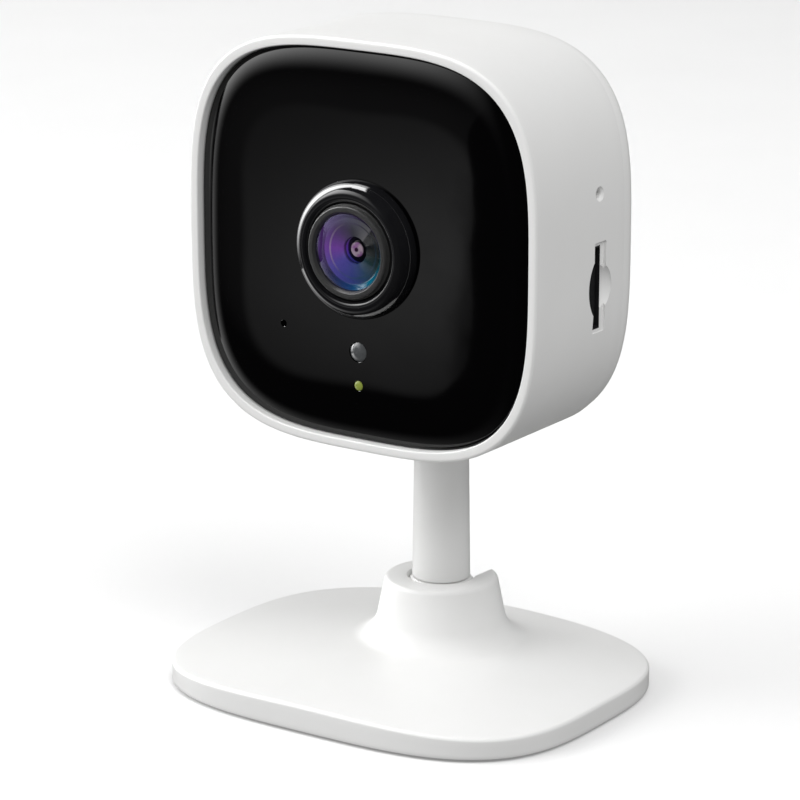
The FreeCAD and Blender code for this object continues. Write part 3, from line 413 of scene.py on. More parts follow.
base_steps = 288
fillet_start = boss_foot_radius + boss_fillet
plate_z = dome_height(0.0, stem_axis_y)
flank_slope = (boss_foot_radius - boss_top_radius) / (boss_top_z - plate_z)
fillet_top_z = plate_z + boss_fillet
fillet_top_radius = boss_foot_radius - flank_slope * boss_fillet
base_rings = []
for reach, z in [(mouth_radius, ball_z + 1.0 * mm), (mouth_radius, boss_top_z - 0.3 * mm),
                 (mouth_radius + 0.08 * mm, boss_top_z + 0.14 * mm),
                 (mouth_radius + 0.28 * mm, boss_top_z + 0.23 * mm)]:
    base_rings.append(base_ring(base_steps, level(reach), level(z)))
for point in eased([(mouth_radius, boss_top_z + 0.2 * mm, 0), (boss_top_radius, boss_top_z, boss_round),
                    (fillet_top_radius, fillet_top_z, 0)], 8)[1:]:
    base_rings.append(base_ring(base_steps, level(point.x), level(point.y)))
for step in range(1, 11):
    share = step / 10
    lean = 0.5523
    bend = [fillet_top_radius, fillet_top_radius + flank_slope * boss_fillet * lean,
            fillet_start - boss_fillet * lean, fillet_start]
    rise = [fillet_top_z, fillet_top_z - boss_fillet * lean, plate_z, plate_z]
    weights = [(1 - share) ** 3, 3 * share * (1 - share) ** 2, 3 * share ** 2 * (1 - share), share ** 3]
    reach = sum(w * b for w, b in zip(weights, bend))
    z = sum(w * r for w, r in zip(weights, rise))
    base_rings.append(base_ring(
        base_steps, level(reach),
        lambda x, y, z=z, share=share: z + share * (dome_height(x, y) - plate_z)))
for share in (0.12, 0.25, 0.4, 0.55, 0.7, 0.85, 0.95):
    base_rings.append(base_ring(
        base_steps,
        lambda turn, share=share: fillet_start + share * (edge_reach(turn, edge_round) - fillet_start),
        dome_height))
for step in range(0, 9):
    turn_over = step / 8 * math.pi / 2
    inset = edge_round * (1 - math.sin(turn_over))
    drop = edge_round * (1 - math.cos(turn_over))
    base_rings.append(base_ring(base_steps, lambda turn, inset=inset: edge_reach(turn, inset),
                                lambda x, y, drop=drop: dome_height(x, y) - drop))
for share in (0.75, 0.5, 0.25):
    base_rings.append(base_ring(
        base_steps, lambda turn: edge_reach(turn, 0),
        lambda x, y, share=share: base_lower_z + share * (dome_height(x, y) - edge_round - base_lower_z)))
for inset, z in ((0.0, 0.25), (0.06, 0.08), (0.2, 0.0), (1.8, 0.0)):
    base_rings.append(base_ring(base_steps, lambda turn, inset=inset: edge_reach(turn, inset * mm),
                                level(base_lower_z + z * mm)))
base_rings.append(base_ring(base_steps, lambda turn: edge_reach(turn, slab_wall),
                            lambda x, y: dome_height(x, y) - slab_roof))
base_rings.append(base_ring(base_steps, level(boss_foot_radius - 0.6 * mm),
                            lambda x, y: dome_height(x, y) - slab_roof))
base_rings.append(base_ring(base_steps, level(boss_foot_radius - 0.6 * mm), level(2.2 * mm)))
base_rings.append(base_ring(base_steps, level(7.25 * mm), level(2.2 * mm)))
base_rings.append(base_ring(base_steps, level(7.25 * mm), level(ball_z - 0.2 * mm)))
for rise in (0.0, 0.2, 0.4):
    seat = math.sqrt((ball_radius + 0.05 * mm) ** 2 - (rise * mm) ** 2)
    base_rings.append(base_ring(base_steps, level(seat), level(ball_z + rise * mm)))
base_shell = skin("base_shell_skin", base_rings, looped=True)

notch_half = 4.65 * mm
notch_rings = []
for y in (stem_axis_y, stem_axis_y + base_half_deep):
    trough = [(notch_half * math.cos(math.pi + math.pi * k / 24), y,
               ball_z + notch_half * math.sin(math.pi + math.pi * k / 24)) for k in range(25)]
    lip = [(notch_half, y, boss_top_z - 0.1 * mm), (notch_half + 0.45 * mm, y, boss_top_z + 0.45 * mm),
           (notch_half + 0.5 * mm, y, boss_top_z + 3 * mm)]
    trough += lip + [(-x, y, z) for x, y, z in reversed(lip)]
    notch_rings.append(trough)
middles = [[(0.0, ring[0][1], ball_z)] for ring in notch_rings]
notch_tool = skin("notch_tool", [middles[0], *notch_rings, middles[1]])
cut(base_shell, notch_tool)
smooth(base_shell)

white_plastic, white_place, white_shader = start_finish(
    "satin_white_abs", Roughness=0.44, IOR=1.5, Specular_IOR_Level=0.5)
spark_texture = grain(white_place, 0.16 * mm, 3.0)
flow_mottle = grain(white_place, 9 * mm, 2.0)
handling = grain(white_place, 2.2 * mm, 4.0)
feed(white_shader,
     Base_Color=blend_shades(flow_mottle, (0.80, 0.80, 0.79), (0.83, 0.83, 0.825)),
     Roughness=between(handling, 0.2, 0.8) * 0.07 + 0.40,
     Normal=relief(spark_texture, 0.012 * mm, 0.35))
mount(base_shell, white_plastic, "base", "white_plastic", "base_shell")

# ------------------------------------------------------------------------------ base cover
# Grey plate that closes the underside.  It is moulded ABS with two keyholes for wall screws,
# and a rubber ring is glued into its groove.  Four screws hold it, hidden under the ring.


def dress(finish, *nodes):
    """Give carried-over parts of the frame this finish."""
    for node in nodes:
        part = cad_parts[node]
        if not part.material_slots:
            part.data.materials.append(finish)
        for place in part.material_slots:
            place.material = finish


grey_plastic, grey_place, grey_shader = start_finish("grey_abs", Roughness=0.5, IOR=1.5)
grey_mottle = grain(grey_place, 7 * mm)
feed(grey_shader, Base_Color=blend_shades(grey_mottle, (0.50, 0.50, 0.50), (0.56, 0.56, 0.56)),
     Roughness=grain(grey_place, 1.5 * mm) * 0.12 + 0.44,
     Normal=relief(grain(grey_place, 0.25 * mm, 3.0), 0.02 * mm, 0.5))
dress(grey_plastic, "base_cover")

pad_low, pad_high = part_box("foot_pad")
pad_band = 4.5 * mm
pad_corners = [(0.0, pad_low.z, 0.25 * mm), (0.0, pad_high.z, 0.05 * mm),
               (pad_band, pad_high.z, 0.05 * mm), (pad_band, pad_low.z, 0.25 * mm)]
pad_rings = []
for point in eased(pad_corners, 4):
    outline = squircle(pad_high.x - point.x, pad_high.y - point.x, base_power, 192)
    pad_rings.append([(x, y, point.y) for x, y in outline])
foot_pad = skin("foot_pad_ring", pad_rings, looped=True)
smooth(foot_pad)
grey_rubber, rubber_place, rubber_shader = start_finish("grey_rubber", Roughness=0.8, IOR=1.45)
feed(rubber_shader,
     Base_Color=blend_shades(grain(rubber_place, 3 * mm), (0.16, 0.16, 0.165), (0.22, 0.22, 0.22)),
     Roughness=grain(rubber_place, 0.8 * mm, 4.0) * 0.2 + 0.68,
     Normal=relief(grain(rubber_place, 0.3 * mm, 4.0), 0.05 * mm, 0.6))
mount(foot_pad, grey_rubber, "base", "grey_rubber", "foot_pad")

# ------------------------------------------------------------------------------ ball socket
# A slotted acetal cup under the ball, pressed up by a spring steel disc that rests on the
# cover, and a cast zinc weight that keeps the camera from tipping.  They are dropped in from
# below before the cover goes on.
white_acetal, acetal_place, acetal_shader = start_finish("white_acetal", Roughness=0.35, IOR=1.48)
feed(acetal_shader,
     Base_Color=blend_shades(grain(acetal_place, 5 * mm), (0.74, 0.74, 0.70), (0.80, 0.80, 0.77)),
     Roughness=grain(acetal_place, 1 * mm) * 0.1 + 0.3,
     Normal=relief(grain(acetal_place, 0.4 * mm), 0.01 * mm, 0.4))
dress(white_acetal, "socket_cup")


def metal_finish(name, shade, dark_shade, rough, brush_size, stretch=(1.0, 1.0, 1.0)):
    """Bare metal with fine drawn or cast marks."""
    finish, place, shader = start_finish(name, Metallic=1.0)
    marks = grain(place, brush_size, 4.0, stretch)
    feed(shader, Base_Color=blend_shades(grain(place, 2.5 * mm), dark_shade, shade),
         Roughness=marks * 0.18 + (rough - 0.09), Normal=relief(marks, 0.01 * mm, 0.5))
    return finish


spring_steel = metal_finish("spring_steel", (0.55, 0.54, 0.52), (0.42, 0.41, 0.39), 0.3, 0.2 * mm)
screw_steel = metal_finish("zinc_plated_steel", (0.66, 0.66, 0.65), (0.52, 0.52, 0.5), 0.28, 0.12 * mm)
cast_zinc = metal_finish("cast_zinc", (0.50, 0.50, 0.51), (0.36, 0.36, 0.37), 0.5, 0.6 * mm)
dress(spring_steel, "socket_spring")
dress(cast_zinc, "ballast_plate")
dress(screw_steel, "pivot_bolt", "pivot_washer")

# ------------------------------------------------------------------------------ pivot ball
# The white ball on which the stem stands and tilts.  It is turned smooth, cut off level on
# top, and tapped for the bolt that the stem turns on.
stem_low, stem_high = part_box("stem")
stem_foot_z = stem_low.z


def turned(name, profile, middle, axis="Z", steps=128, looped=False):
    """Round piece from a profile of (radius, along) points; a radius of 0 closes an end."""
    rings = []
    for radius, along in profile:
        ring = []
        for step in range(1 if radius == 0 else steps):
            turn = 2 * math.pi * step / steps
            u = radius * math.cos(turn)
            v = radius * math.sin(turn)
            offset = {"Z": (u, v, along), "Y": (u, along, v), "X": (along, u, v)}[axis]
            ring.append(Vector(middle) + Vector(offset))
        rings.append(ring)
    return skin(name, rings, looped)


flat_rise = ball_high.z - ball_z
ball_profile = [(0.0, -ball_radius)]
lowest = -math.pi / 2
highest = math.asin(flat_rise / ball_radius) - 0.03
for step in range(1, 49):
    angle = lowest + (highest - lowest) * step / 48
    ball_profile.append((ball_radius * math.cos(angle), ball_radius * math.sin(angle)))
ball_profile += [(ball_profile[-1][0] - 0.12 * mm, flat_rise), (1.6 * mm, flat_rise),
                 (1.5 * mm, flat_rise - 0.15 * mm), (1.5 * mm, flat_rise - 7.5 * mm),
                 (0.0, flat_rise - 8.2 * mm)]
pivot_ball = turned("pivot_ball_skin", ball_profile, (0, stem_axis_y, ball_z))
smooth(pivot_ball)
mount(pivot_ball, white_plastic, "pivot", "white_plastic", "pivot_ball")

# ------------------------------------------------------------------------------ stem
# Slightly tapered white tube, moulded with a flange that two screws hold inside the head.
# The bolt in its bore lets it turn on the ball.
housing_low, housing_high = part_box("front_housing")
cover_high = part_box("rear_cover")[1]
head_half_wide = housing_high.x
head_half_tall = (housing_high.z - housing_low.z) / 2
head_z = (housing_high.z + housing_low.z) / 2
head_power = 3.44
rim_y = housing_low.y
seam_y = housing_high.y
rear_y = cover_high.y
stem_foot_radius = 4.35 * mm
stem_top_radius = 4.05 * mm
stem_bore = 2.9 * mm
flange_z = stem_high.z - 2.0 * mm
stem_profile = eased([(1.6 * mm, stem_foot_z, 0.1 * mm), (stem_foot_radius, stem_foot_z, 0.35 * mm),
                      (stem_top_radius, housing_low.z, 0), (stem_top_radius, flange_z, 0),
                      (stem_top_radius, stem_high.z, 0.1 * mm), (stem_bore, stem_high.z, 0.1 * mm),
                      (stem_bore, stem_foot_z + 12 * mm, 0), (1.6 * mm, stem_foot_z + 12 * mm, 0)], 5)
stem = turned("stem_tube", stem_profile, (0, stem_axis_y, 0), steps=96, looped=True)


def soft_square(half_a, half_b, radius, steps=6):
    """Points round a rectangle with rounded corners."""
    points = []
    for quarter, (side, end) in enumerate([(1, 1), (-1, 1), (-1, -1), (1, -1)]):
        for step in range(steps + 1):
            turn = math.pi / 2 * (quarter + step / steps)
            points.append((side * (half_a - radius) + radius * math.cos(turn),
                           end * (half_b - radius) + radius * math.sin(turn)))
    return points


def join(whole, *parts):
    """Add the parts' meshes to the whole."""
    sheaf = bmesh.new()
    sheaf.from_mesh(whole.data)
    for part in parts:
        sheaf.from_mesh(part.data)
        bpy.data.objects.remove(part)
    sheaf.to_mesh(whole.data)
    sheaf.free()


flange_outline = soft_square(10.3 * mm, 3.6 * mm, 1.5 * mm)
flange_rings = [[(x, stem_axis_y - 2.7 * mm + y, z) for x, y in flange_outline]
                for z in (flange_z + 0.02 * mm, stem_high.z)]
flange_middles = [[(0.0, stem_axis_y - 5.0 * mm, z)] for z in (flange_z + 0.02 * mm, stem_high.z)]
stem_flange = skin("stem_flange", [flange_middles[0], *flange_rings, flange_middles[1]])
join(stem, stem_flange)
smooth(stem)
mount(stem, white_plastic, "head", "white_plastic", "stem")

# ------------------------------------------------------------------------------ front housing
# The white tube that carries everything in the head, moulded in the same satin ABS.  A thin
# rounded rim stands proud of the dark face, a ledge inside holds the face, and the right wall
# has the card slot in a shallow recess, a thumb scoop, and the flared hole for the reset pin.
rim_width = 1.4 * mm
rim_round = 0.45 * mm
head_wall = 2.2 * mm
panel_low, panel_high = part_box("front_panel")
ledge_y = panel_high.y + 0.3 * mm
head_steps = 320


def head_ring(inset, y, steps=head_steps):
    """Ring of the head's outline, drawn in by inset, at this y."""
    outline = squircle(head_half_wide - inset, head_half_tall - inset, head_power, steps)
    return [(x, y, head_z + z) for x, z in outline]


wall_stations = [seam_y - (seam_y - rim_y) * k / 12 for k in range(1, 12)]
housing_corners = [(0.0, seam_y, 0.15 * mm)]
housing_corners += [(0.0, y, 0) for y in wall_stations]
housing_corners += [(0.0, rim_y, rim_round), (rim_width, rim_y, 0.22 * mm), (rim_width, ledge_y, 0),
                    (head_wall + 2.3 * mm, ledge_y, 0), (head_wall + 2.3 * mm, ledge_y + 1.2 * mm, 0),
                    (head_wall, ledge_y + 1.2 * mm, 0), (head_wall, seam_y, 0.1 * mm)]
housing = skin("front_housing_skin",
               [head_ring(point.x, point.y) for point in eased(housing_corners, 7)], looped=True)

card_low, card_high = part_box("memory_card")
port_y = (card_low.y + card_high.y) / 2
card_z = (card_low.z + card_high.z) / 2
button_low, button_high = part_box("reset_button")
reset_z = (button_low.z + button_high.z) / 2


def side_tool(name, stations, middle_y, middle_z, half_y, half_z, radius):
    """Tool for an opening in the right wall: (x, growth) stations of a soft rectangle."""
    rings = []
    for x, grow in stations:
        outline = soft_square(half_y + grow, half_z + grow, radius + grow)
        rings.append([(x, middle_y + y, middle_z + z) for y, z in outline])
    ends = [[(x, middle_y, middle_z)] for x in (stations[0][0], stations[-1][0])]
    return skin(name, [ends[0], *rings, ends[1]])


def wall_block(name, stations):
    """Block along X through (x, outline) stations, each outline round the card's middle."""
    rings = [[(x, port_y + y, card_z + z) for y, z in outline] for x, outline in stations]
    ends = [[tuple(sum((Vector(point) for point in ring), Vector()) / len(ring))]
            for ring in (rings[0], rings[-1])]
    return skin(name, [ends[0], *rings, ends[1]])


slot_front = -1.3 * mm
slot_rear = 0.75 * mm
slot_tall = 6.05 * mm
thumb_tall = 3.9 * mm
thumb_deep = 1.45 * mm


def slot_outline(margin):
    """The slot with its thumb notch in front, drawn in by a margin."""
    front = slot_front + margin
    tall = slot_tall - margin
    deep = thumb_deep - margin
    bow = (thumb_tall ** 2 + deep ** 2) / (2 * deep)
    half = math.asin(thumb_tall / bow)
    outline = [(slot_rear - margin, -tall), (slot_rear - margin, tall), (front, tall)]
    for step in range(25):
        swing = half * (1 - step / 12)
        outline.append((front - deep + bow - bow * math.cos(swing), bow * math.sin(swing)))
    return outline + [(front, -tall)]


def dish_outline(share):
    """Half oval of the dish behind the slot, at this share of its size."""
    return [(slot_front * 0.2 + 3.55 * mm * share * math.cos(swing), 3.6 * mm * share * math.sin(swing))
            for swing in (math.pi * (step / 24 - 0.5) for step in range(25))]


wall_x = head_half_wide
slot_stations = [(wall_x - 5 * mm, slot_outline(0.0)), (wall_x + 1 * mm, slot_outline(0.0))]
slot_tool = wall_block("slot_tool", slot_stations)
recess_tool = side_tool("recess_tool", [(wall_x - 0.42 * mm, -0.05 * mm), (wall_x - 0.37 * mm, 0.0),
                                        (wall_x - 0.08 * mm, 0.0), (wall_x + 0.3 * mm, 0.2 * mm)],
                        port_y + 0.25 * mm, card_z, 1.55 * mm, 6.6 * mm, 0.3 * mm)
dish_depth = 1.5 * mm
dish_stations = [(wall_x - dish_depth * math.cos(k * math.pi / 24) ** 1.4,
                  dish_outline(max(0.04, math.sin(k * math.pi / 24)))) for k in range(0, 12)]
dish_stations += [(wall_x, dish_outline(1.0)), (wall_x + 0.5 * mm, dish_outline(1.05))]
scoop_tool = wall_block("scoop_tool", dish_stations)
pin_hole_radius = 0.75 * mm
pin_tool = turned("pin_tool", [(0.0, -6 * mm), (pin_hole_radius, -6 * mm),
                               (pin_hole_radius, -0.5 * mm), (1.0 * mm, -0.22 * mm),
                               (1.6 * mm, 0.35 * mm), (0.0, 0.35 * mm)],
                  (wall_x, port_y, reset_z), "X", 48)
stem_hole_radius = stem_foot_radius + 0.15 * mm
stem_hole_flare = 0.9 * mm
stem_hole_depth = 2.6 * mm
stem_hole_profile = [(0.0, -1 * mm), (stem_hole_radius + stem_hole_flare, -1 * mm),
                     (stem_hole_radius, 0.35 * mm), (stem_hole_radius, stem_hole_depth),
                     (0.0, stem_hole_depth)]
stem_tool = turned("stem_tool", stem_hole_profile, (0, stem_axis_y, housing_low.z), steps=72)
cut(housing, slot_tool, recess_tool, scoop_tool, pin_tool, stem_tool)

post_share = 2 ** (-1 / head_power)
post_x = (head_half_wide - head_wall) * post_share - 2.2 * mm
post_up = (head_half_tall - head_wall) * post_share - 2.2 * mm
post_places = [(sx * post_x, head_z + sz * post_up) for sx in (-1, 1) for sz in (-1, 1)]
board_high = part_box("led_board")[1]
posts = []
for x, z in post_places:
    posts.append(turned("screw_post", [(1.05 * mm, board_high.y), (2.8 * mm, board_high.y),
                                       (2.8 * mm, seam_y - 0.2 * mm), (1.05 * mm, seam_y - 0.2 * mm)],
                        (x, 0, z), "Y", 32, looped=True))
join(housing, *posts)
smooth(housing)
mount(housing, white_plastic, "head", "white_plastic", "front_housing")

# ------------------------------------------------------------------------------ rear cover
# White dish that closes the head, a hair smaller than the tube so that a fine shadow line runs
# round the seam.  Its back is pierced by rings of sound holes, four screw wells and the hole
# for the power socket, and a lip locates it in the tube.
seam_gap = 0.25 * mm
seam_step = 0.25 * mm
cover_front_y = seam_y + seam_gap
cover_round = 3.0 * mm
cover_inner_y = rear_y - 2.0 * mm
cover_lip_y = cover_front_y - 2.4 * mm
cover_corners = [(8 * mm, cover_inner_y, 0), (3.7 * mm, cover_inner_y, 0),
                 (3.7 * mm, cover_lip_y, 0.2 * mm), (2.36 * mm, cover_lip_y, 0.2 * mm),
                 (2.36 * mm, cover_front_y, 0), (seam_step, cover_front_y, 0.18 * mm),
                 (seam_step, rear_y, cover_round), (4.4 * mm, rear_y, 0), (6 * mm, rear_y, 0),
                 (8 * mm, rear_y, 0)]
rear_cover = skin("rear_cover_skin", [head_ring(point.x, point.y) for point in eased(cover_corners, 9)],
                  capped=True)


def start_rule(name, *sizes):
    """New geometry rule with named sizes; gives the tree, its sizes and its end."""
    rule = bpy.data.node_groups.new(name, "GeometryNodeTree")
    rule.interface.new_socket("Geometry", in_out="INPUT", socket_type="NodeSocketGeometry")
    for size, kind in sizes:
        rule.interface.new_socket(size, in_out="INPUT", socket_type="NodeSocket" + kind)
    rule.interface.new_socket("Geometry", in_out="OUTPUT", socket_type="NodeSocketGeometry")
    start = rule.nodes.new("NodeGroupInput")
    sockets = {socket.name: Wash(rule, socket) for socket in start.outputs if socket.name}
    return rule, sockets


def close_rule(shape, finish_socket):
    """End a rule: real geometry, in the finish that the rule is given."""
    real = shape.make("GeometryNodeRealizeInstances", None, {"Geometry": shape})
    dressed = real.make("GeometryNodeSetMaterial", None, {"Geometry": real, "Material": finish_socket})
    end = shape.tree.nodes.new("NodeGroupOutput")
    shape.tree.links.new(dressed.socket, end.inputs[0])


def grow(name, rule, points, **sizes):
    """Plain mesh object that a rule makes from these points and sizes."""
    seeds = bpy.data.meshes.new(name)
    seeds.from_pydata(points, [], [])
    piece = bpy.data.objects.new(name, seeds)
    bpy.context.scene.collection.objects.link(piece)
    maker = piece.modifiers.new("rule", "NODES")
    maker.node_group = rule
    for item in rule.interface.items_tree:
        if item.in_out == "INPUT" and item.name.replace(" ", "_") in sizes:
            maker[item.identifier] = sizes[item.name.replace(" ", "_")]
    settle(piece)
    return piece


drill_rule, given = start_rule("sound_hole_drills", ("Hole radius", "Float"), ("Ring spacing", "Float"),
                               ("Depth", "Float"), ("Finish", "Material"))
centre_point = given["Geometry"]
rings = [centre_point]
for ring in (1, 2, 3):
    circle = centre_point.make("GeometryNodeMeshCircle", None,
                               {"Vertices": 6 * ring, "Radius": given["Ring spacing"] * float(ring)})
    rings.append(circle)
gather = drill_rule.nodes.new("GeometryNodeJoinGeometry")
for ring in reversed(rings):
    drill_rule.links.new(ring.socket, gather.inputs[0])
drill = centre_point.make("GeometryNodeMeshCylinder", None,
                          {"Vertices": 20, "Radius": given["Hole radius"], "Depth": given["Depth"]})
drills = centre_point.make("GeometryNodeInstanceOnPoints", None,
                           {"Points": Wash(drill_rule, gather.outputs[0]), "Instance": drill})
close_rule(drills, given["Finish"])

speaker_low, speaker_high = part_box("speaker")
speaker_z = (speaker_low.z + speaker_high.z) / 2
sound_holes = grow("sound_hole_tool", drill_rule, [(0, 0, 0)], Hole_radius=0.6 * mm,
                   Ring_spacing=2.3 * mm, Depth=6 * mm, Finish=white_plastic)
sound_holes.data.transform(Matrix.Translation((0, rear_y, speaker_z)) @ Matrix.Rotation(math.pi / 2, 4, "X"))
inlet_low, inlet_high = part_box("power_inlet")
inlet_z = (inlet_low.z + inlet_high.z) / 2
inlet_tool = turned("inlet_tool", [(0.0, -5 * mm), (3.05 * mm, -5 * mm), (3.05 * mm, -0.3 * mm),
                                   (3.5 * mm, 0.15 * mm), (0.0, 0.15 * mm)], (0, rear_y, inlet_z), "Y", 64)
well_depth = 1.3 * mm
well_tools = []
for x, z in post_places:
    well_tools.append(turned("well_tool", [(0.0, -4 * mm), (1.1 * mm, -4 * mm), (1.1 * mm, -well_depth),
                                           (2.0 * mm, -well_depth), (2.0 * mm, -0.2 * mm),
                                           (2.3 * mm, 0.1 * mm), (0.0, 0.1 * mm)], (x, rear_y, z), "Y", 40))
stem_tool = turned("stem_tool", stem_hole_profile, (0, stem_axis_y, housing_low.z), steps=72)
cut(rear_cover, sound_holes, inlet_tool, *well_tools, stem_tool)
smooth(rear_cover)
mount(rear_cover, white_plastic, "head", "white_plastic", "rear_cover")

# ------------------------------------------------------------------------------ screws
# Small zinc-plated screws with domed heads and crossed slots.  Four sit in the wells of the
# rear cover and four in the base cover; the rest hold the boards and the stem out of sight.
screw_rule, given = start_rule("crossed_screws", ("Head radius", "Float"), ("Head height", "Float"),
                               ("Shank length", "Float"), ("Slot width", "Float"), ("Tilt", "Rotation"),
                               ("Seed", "Int"), ("Finish", "Material"))
points = given["Geometry"]
head = points.make("GeometryNodeMeshCylinder", None,
                   {"Vertices": 40, "Side Segments": 5, "Fill Segments": 7,
                    "Radius": given["Head radius"], "Depth": given["Head height"]})
spot = points.make("GeometryNodeInputPosition")
parts = spot.make("ShaderNodeSeparateXYZ", None, {0: spot})
across = Wash(screw_rule, parts.socket.node.outputs[0])
along = Wash(screw_rule, parts.socket.node.outputs[1])
upward = Wash(screw_rule, parts.socket.node.outputs[2])
reach = (across * across + along * along) / (given["Head radius"] * given["Head radius"])
height_share = upward / given["Head height"] + 0.5
sink = reach * reach * height_share * given["Head height"] * -0.45
pull = spot.make("ShaderNodeCombineXYZ", None, {2: sink})
domed = points.make("GeometryNodeSetPosition", None, {"Geometry": head, "Offset": pull})
slots = []
for turned_slot in (False, True):
    wide = given["Slot width"]
    long = given["Head radius"] * 1.25
    sides = {0: wide, 1: long, 2: given["Head height"]}
    if turned_slot:
        sides = {0: long, 1: wide, 2: given["Head height"]}
    size = spot.make("ShaderNodeCombineXYZ", None, sides)
    bar = points.make("GeometryNodeMeshCube", None, {"Size": size})
    lift = spot.make("ShaderNodeCombineXYZ", None, {2: given["Head height"] * 0.5})
    slots.append(points.make("GeometryNodeTransform", None, {"Geometry": bar, "Translation": lift}))
slotted = domed
for bar in slots:
    carve = screw_rule.nodes.new("GeometryNodeMeshBoolean")
    carve.operation = "DIFFERENCE"
    carve.solver = "EXACT"
    screw_rule.links.new(slotted.socket, carve.inputs[0])
    screw_rule.links.new(bar.socket, carve.inputs[1])
    slotted = Wash(screw_rule, carve.outputs[0])
shank = points.make("GeometryNodeMeshCylinder", None,
                    {"Vertices": 20, "Radius": given["Head radius"] * 0.55, "Depth": given["Shank length"]})
lower = spot.make("ShaderNodeCombineXYZ", None,
                  {2: (given["Shank length"] + given["Head height"]) * -0.5})
shank = points.make("GeometryNodeTransform", None, {"Geometry": shank, "Translation": lower})
gather = screw_rule.nodes.new("GeometryNodeJoinGeometry")
screw_rule.links.new(slotted.socket, gather.inputs[0])
screw_rule.links.new(shank.socket, gather.inputs[0])
chance = points.make("FunctionNodeRandomValue", {"data_type": "FLOAT"},
                     {"Min": 0.0, "Max": math.pi / 2, "Seed": given["Seed"]}, 1)
spin = spot.make("ShaderNodeCombineXYZ", None, {2: chance})
spin = spin.make("FunctionNodeEulerToRotation", None, {0: spin})
facing = spin.make("FunctionNodeRotateRotation", {"rotation_space": "LOCAL"}, {0: given["Tilt"], 1: spin})
screws = points.make("GeometryNodeInstanceOnPoints", None,
                     {"Points": points, "Instance": Wash(screw_rule, gather.outputs[0]), "Rotation": facing})
close_rule(screws, given["Finish"])

head_height = 1.1 * mm
cover_screws = grow("rear_cover_screw_set", screw_rule,
                    [(x, rear_y - well_depth + head_height / 2, z) for x, z in post_places],
                    Head_radius=1.8 * mm, Head_height=head_height, Shank_length=7.8 * mm,
                    Slot_width=0.5 * mm, Tilt=(-math.pi / 2, 0.0, 0.0), Seed=4, Finish=screw_steel)
smooth(cover_screws)
mount(cover_screws, screw_steel, "head", "screw_steel", "rear_cover_screws")
foot_low, foot_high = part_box("base_cover_screws")
foot_x = foot_high.x - 1.8 * mm
foot_y = foot_high.y - 1.8 * mm
foot_screws = grow("base_cover_screw_set", screw_rule,
                   [(sx * foot_x, sy * foot_y, foot_low.z + 0.3 * mm) for sx in (-1, 1) for sy in (-1, 1)],
                   Head_radius=1.8 * mm, Head_height=0.6 * mm,
                   Shank_length=foot_high.z - foot_low.z - 0.7 * mm,
                   Slot_width=0.5 * mm, Tilt=(math.pi, 0.0, 0.0), Seed=9, Finish=screw_steel)
smooth(foot_screws)
mount(foot_screws, screw_steel, "base", "screw_steel", "base_cover_screws")
dress(screw_steel, "stem_flange_screws", "spacer_screws", "led_board_screws", "main_board_screws")

# ------------------------------------------------------------------------------ power socket
# Black moulded barrel socket for the power plug, soldered to the main board with its nose in
# the rear cover's hole and a plated centre pin.
inlet_nose_y = inlet_high.y
black_inlet, inlet_place, inlet_shader = start_finish("black_nylon_socket", Roughness=0.5, IOR=1.5)
feed(inlet_shader,
     Base_Color=blend_shades(grain(inlet_place, 1.5 * mm), (0.012, 0.012, 0.013), (0.03, 0.03, 0.03)),
     Roughness=grain(inlet_place, 0.5 * mm) * 0.15 + 0.42,
     Normal=relief(grain(inlet_place, 0.12 * mm), 0.01 * mm, 0.5))
inlet_body = [[(x, y, inlet_z + z) for x, z in soft_square(4.5 * mm, 3.7 * mm, 0.5 * mm)]
              for y in (inlet_low.y, inlet_nose_y - 1.75 * mm)]
inlet_ends = [[(0.0, ring[0][1], inlet_z)] for ring in inlet_body]
power_inlet = skin("power_inlet_body", [inlet_ends[0], *inlet_body, inlet_ends[1]])
nose = turned("nose", [(0.0, -3 * mm), (2.9 * mm, -3 * mm), (2.9 * mm, -0.3 * mm), (2.65 * mm, 0.0),
                       (0.0, 0.0)], (0, inlet_nose_y, inlet_z), "Y", 64)
weld = power_inlet.modifiers.new("weld", "BOOLEAN")
weld.operation = "UNION"
weld.solver = "EXACT"
weld.object = nose
settle(power_inlet)
bpy.data.objects.remove(nose)
bore = turned("bore", [(0.0, -8 * mm), (1.8 * mm, -8 * mm), (1.8 * mm, -0.3 * mm), (2.15 * mm, 0.1 * mm),
                       (0.0, 0.1 * mm)], (0, inlet_nose_y, inlet_z), "Y", 48)
cut(power_inlet, bore)
smooth(power_inlet)
mount(power_inlet, black_inlet, "head", "black_inlet", "power_inlet")
contact_pin = turned("power_inlet_pin", eased([(0.0, -8.4 * mm, 0), (0.6 * mm, -8.4 * mm, 0.05 * mm),
                                               (0.6 * mm, -1.2 * mm, 0.45 * mm), (0.0, -1.2 * mm, 0)], 6),
                     (0, inlet_nose_y, inlet_z), "Y", 24)
smooth(contact_pin)
mount(contact_pin, screw_steel, "head", "screw_steel")

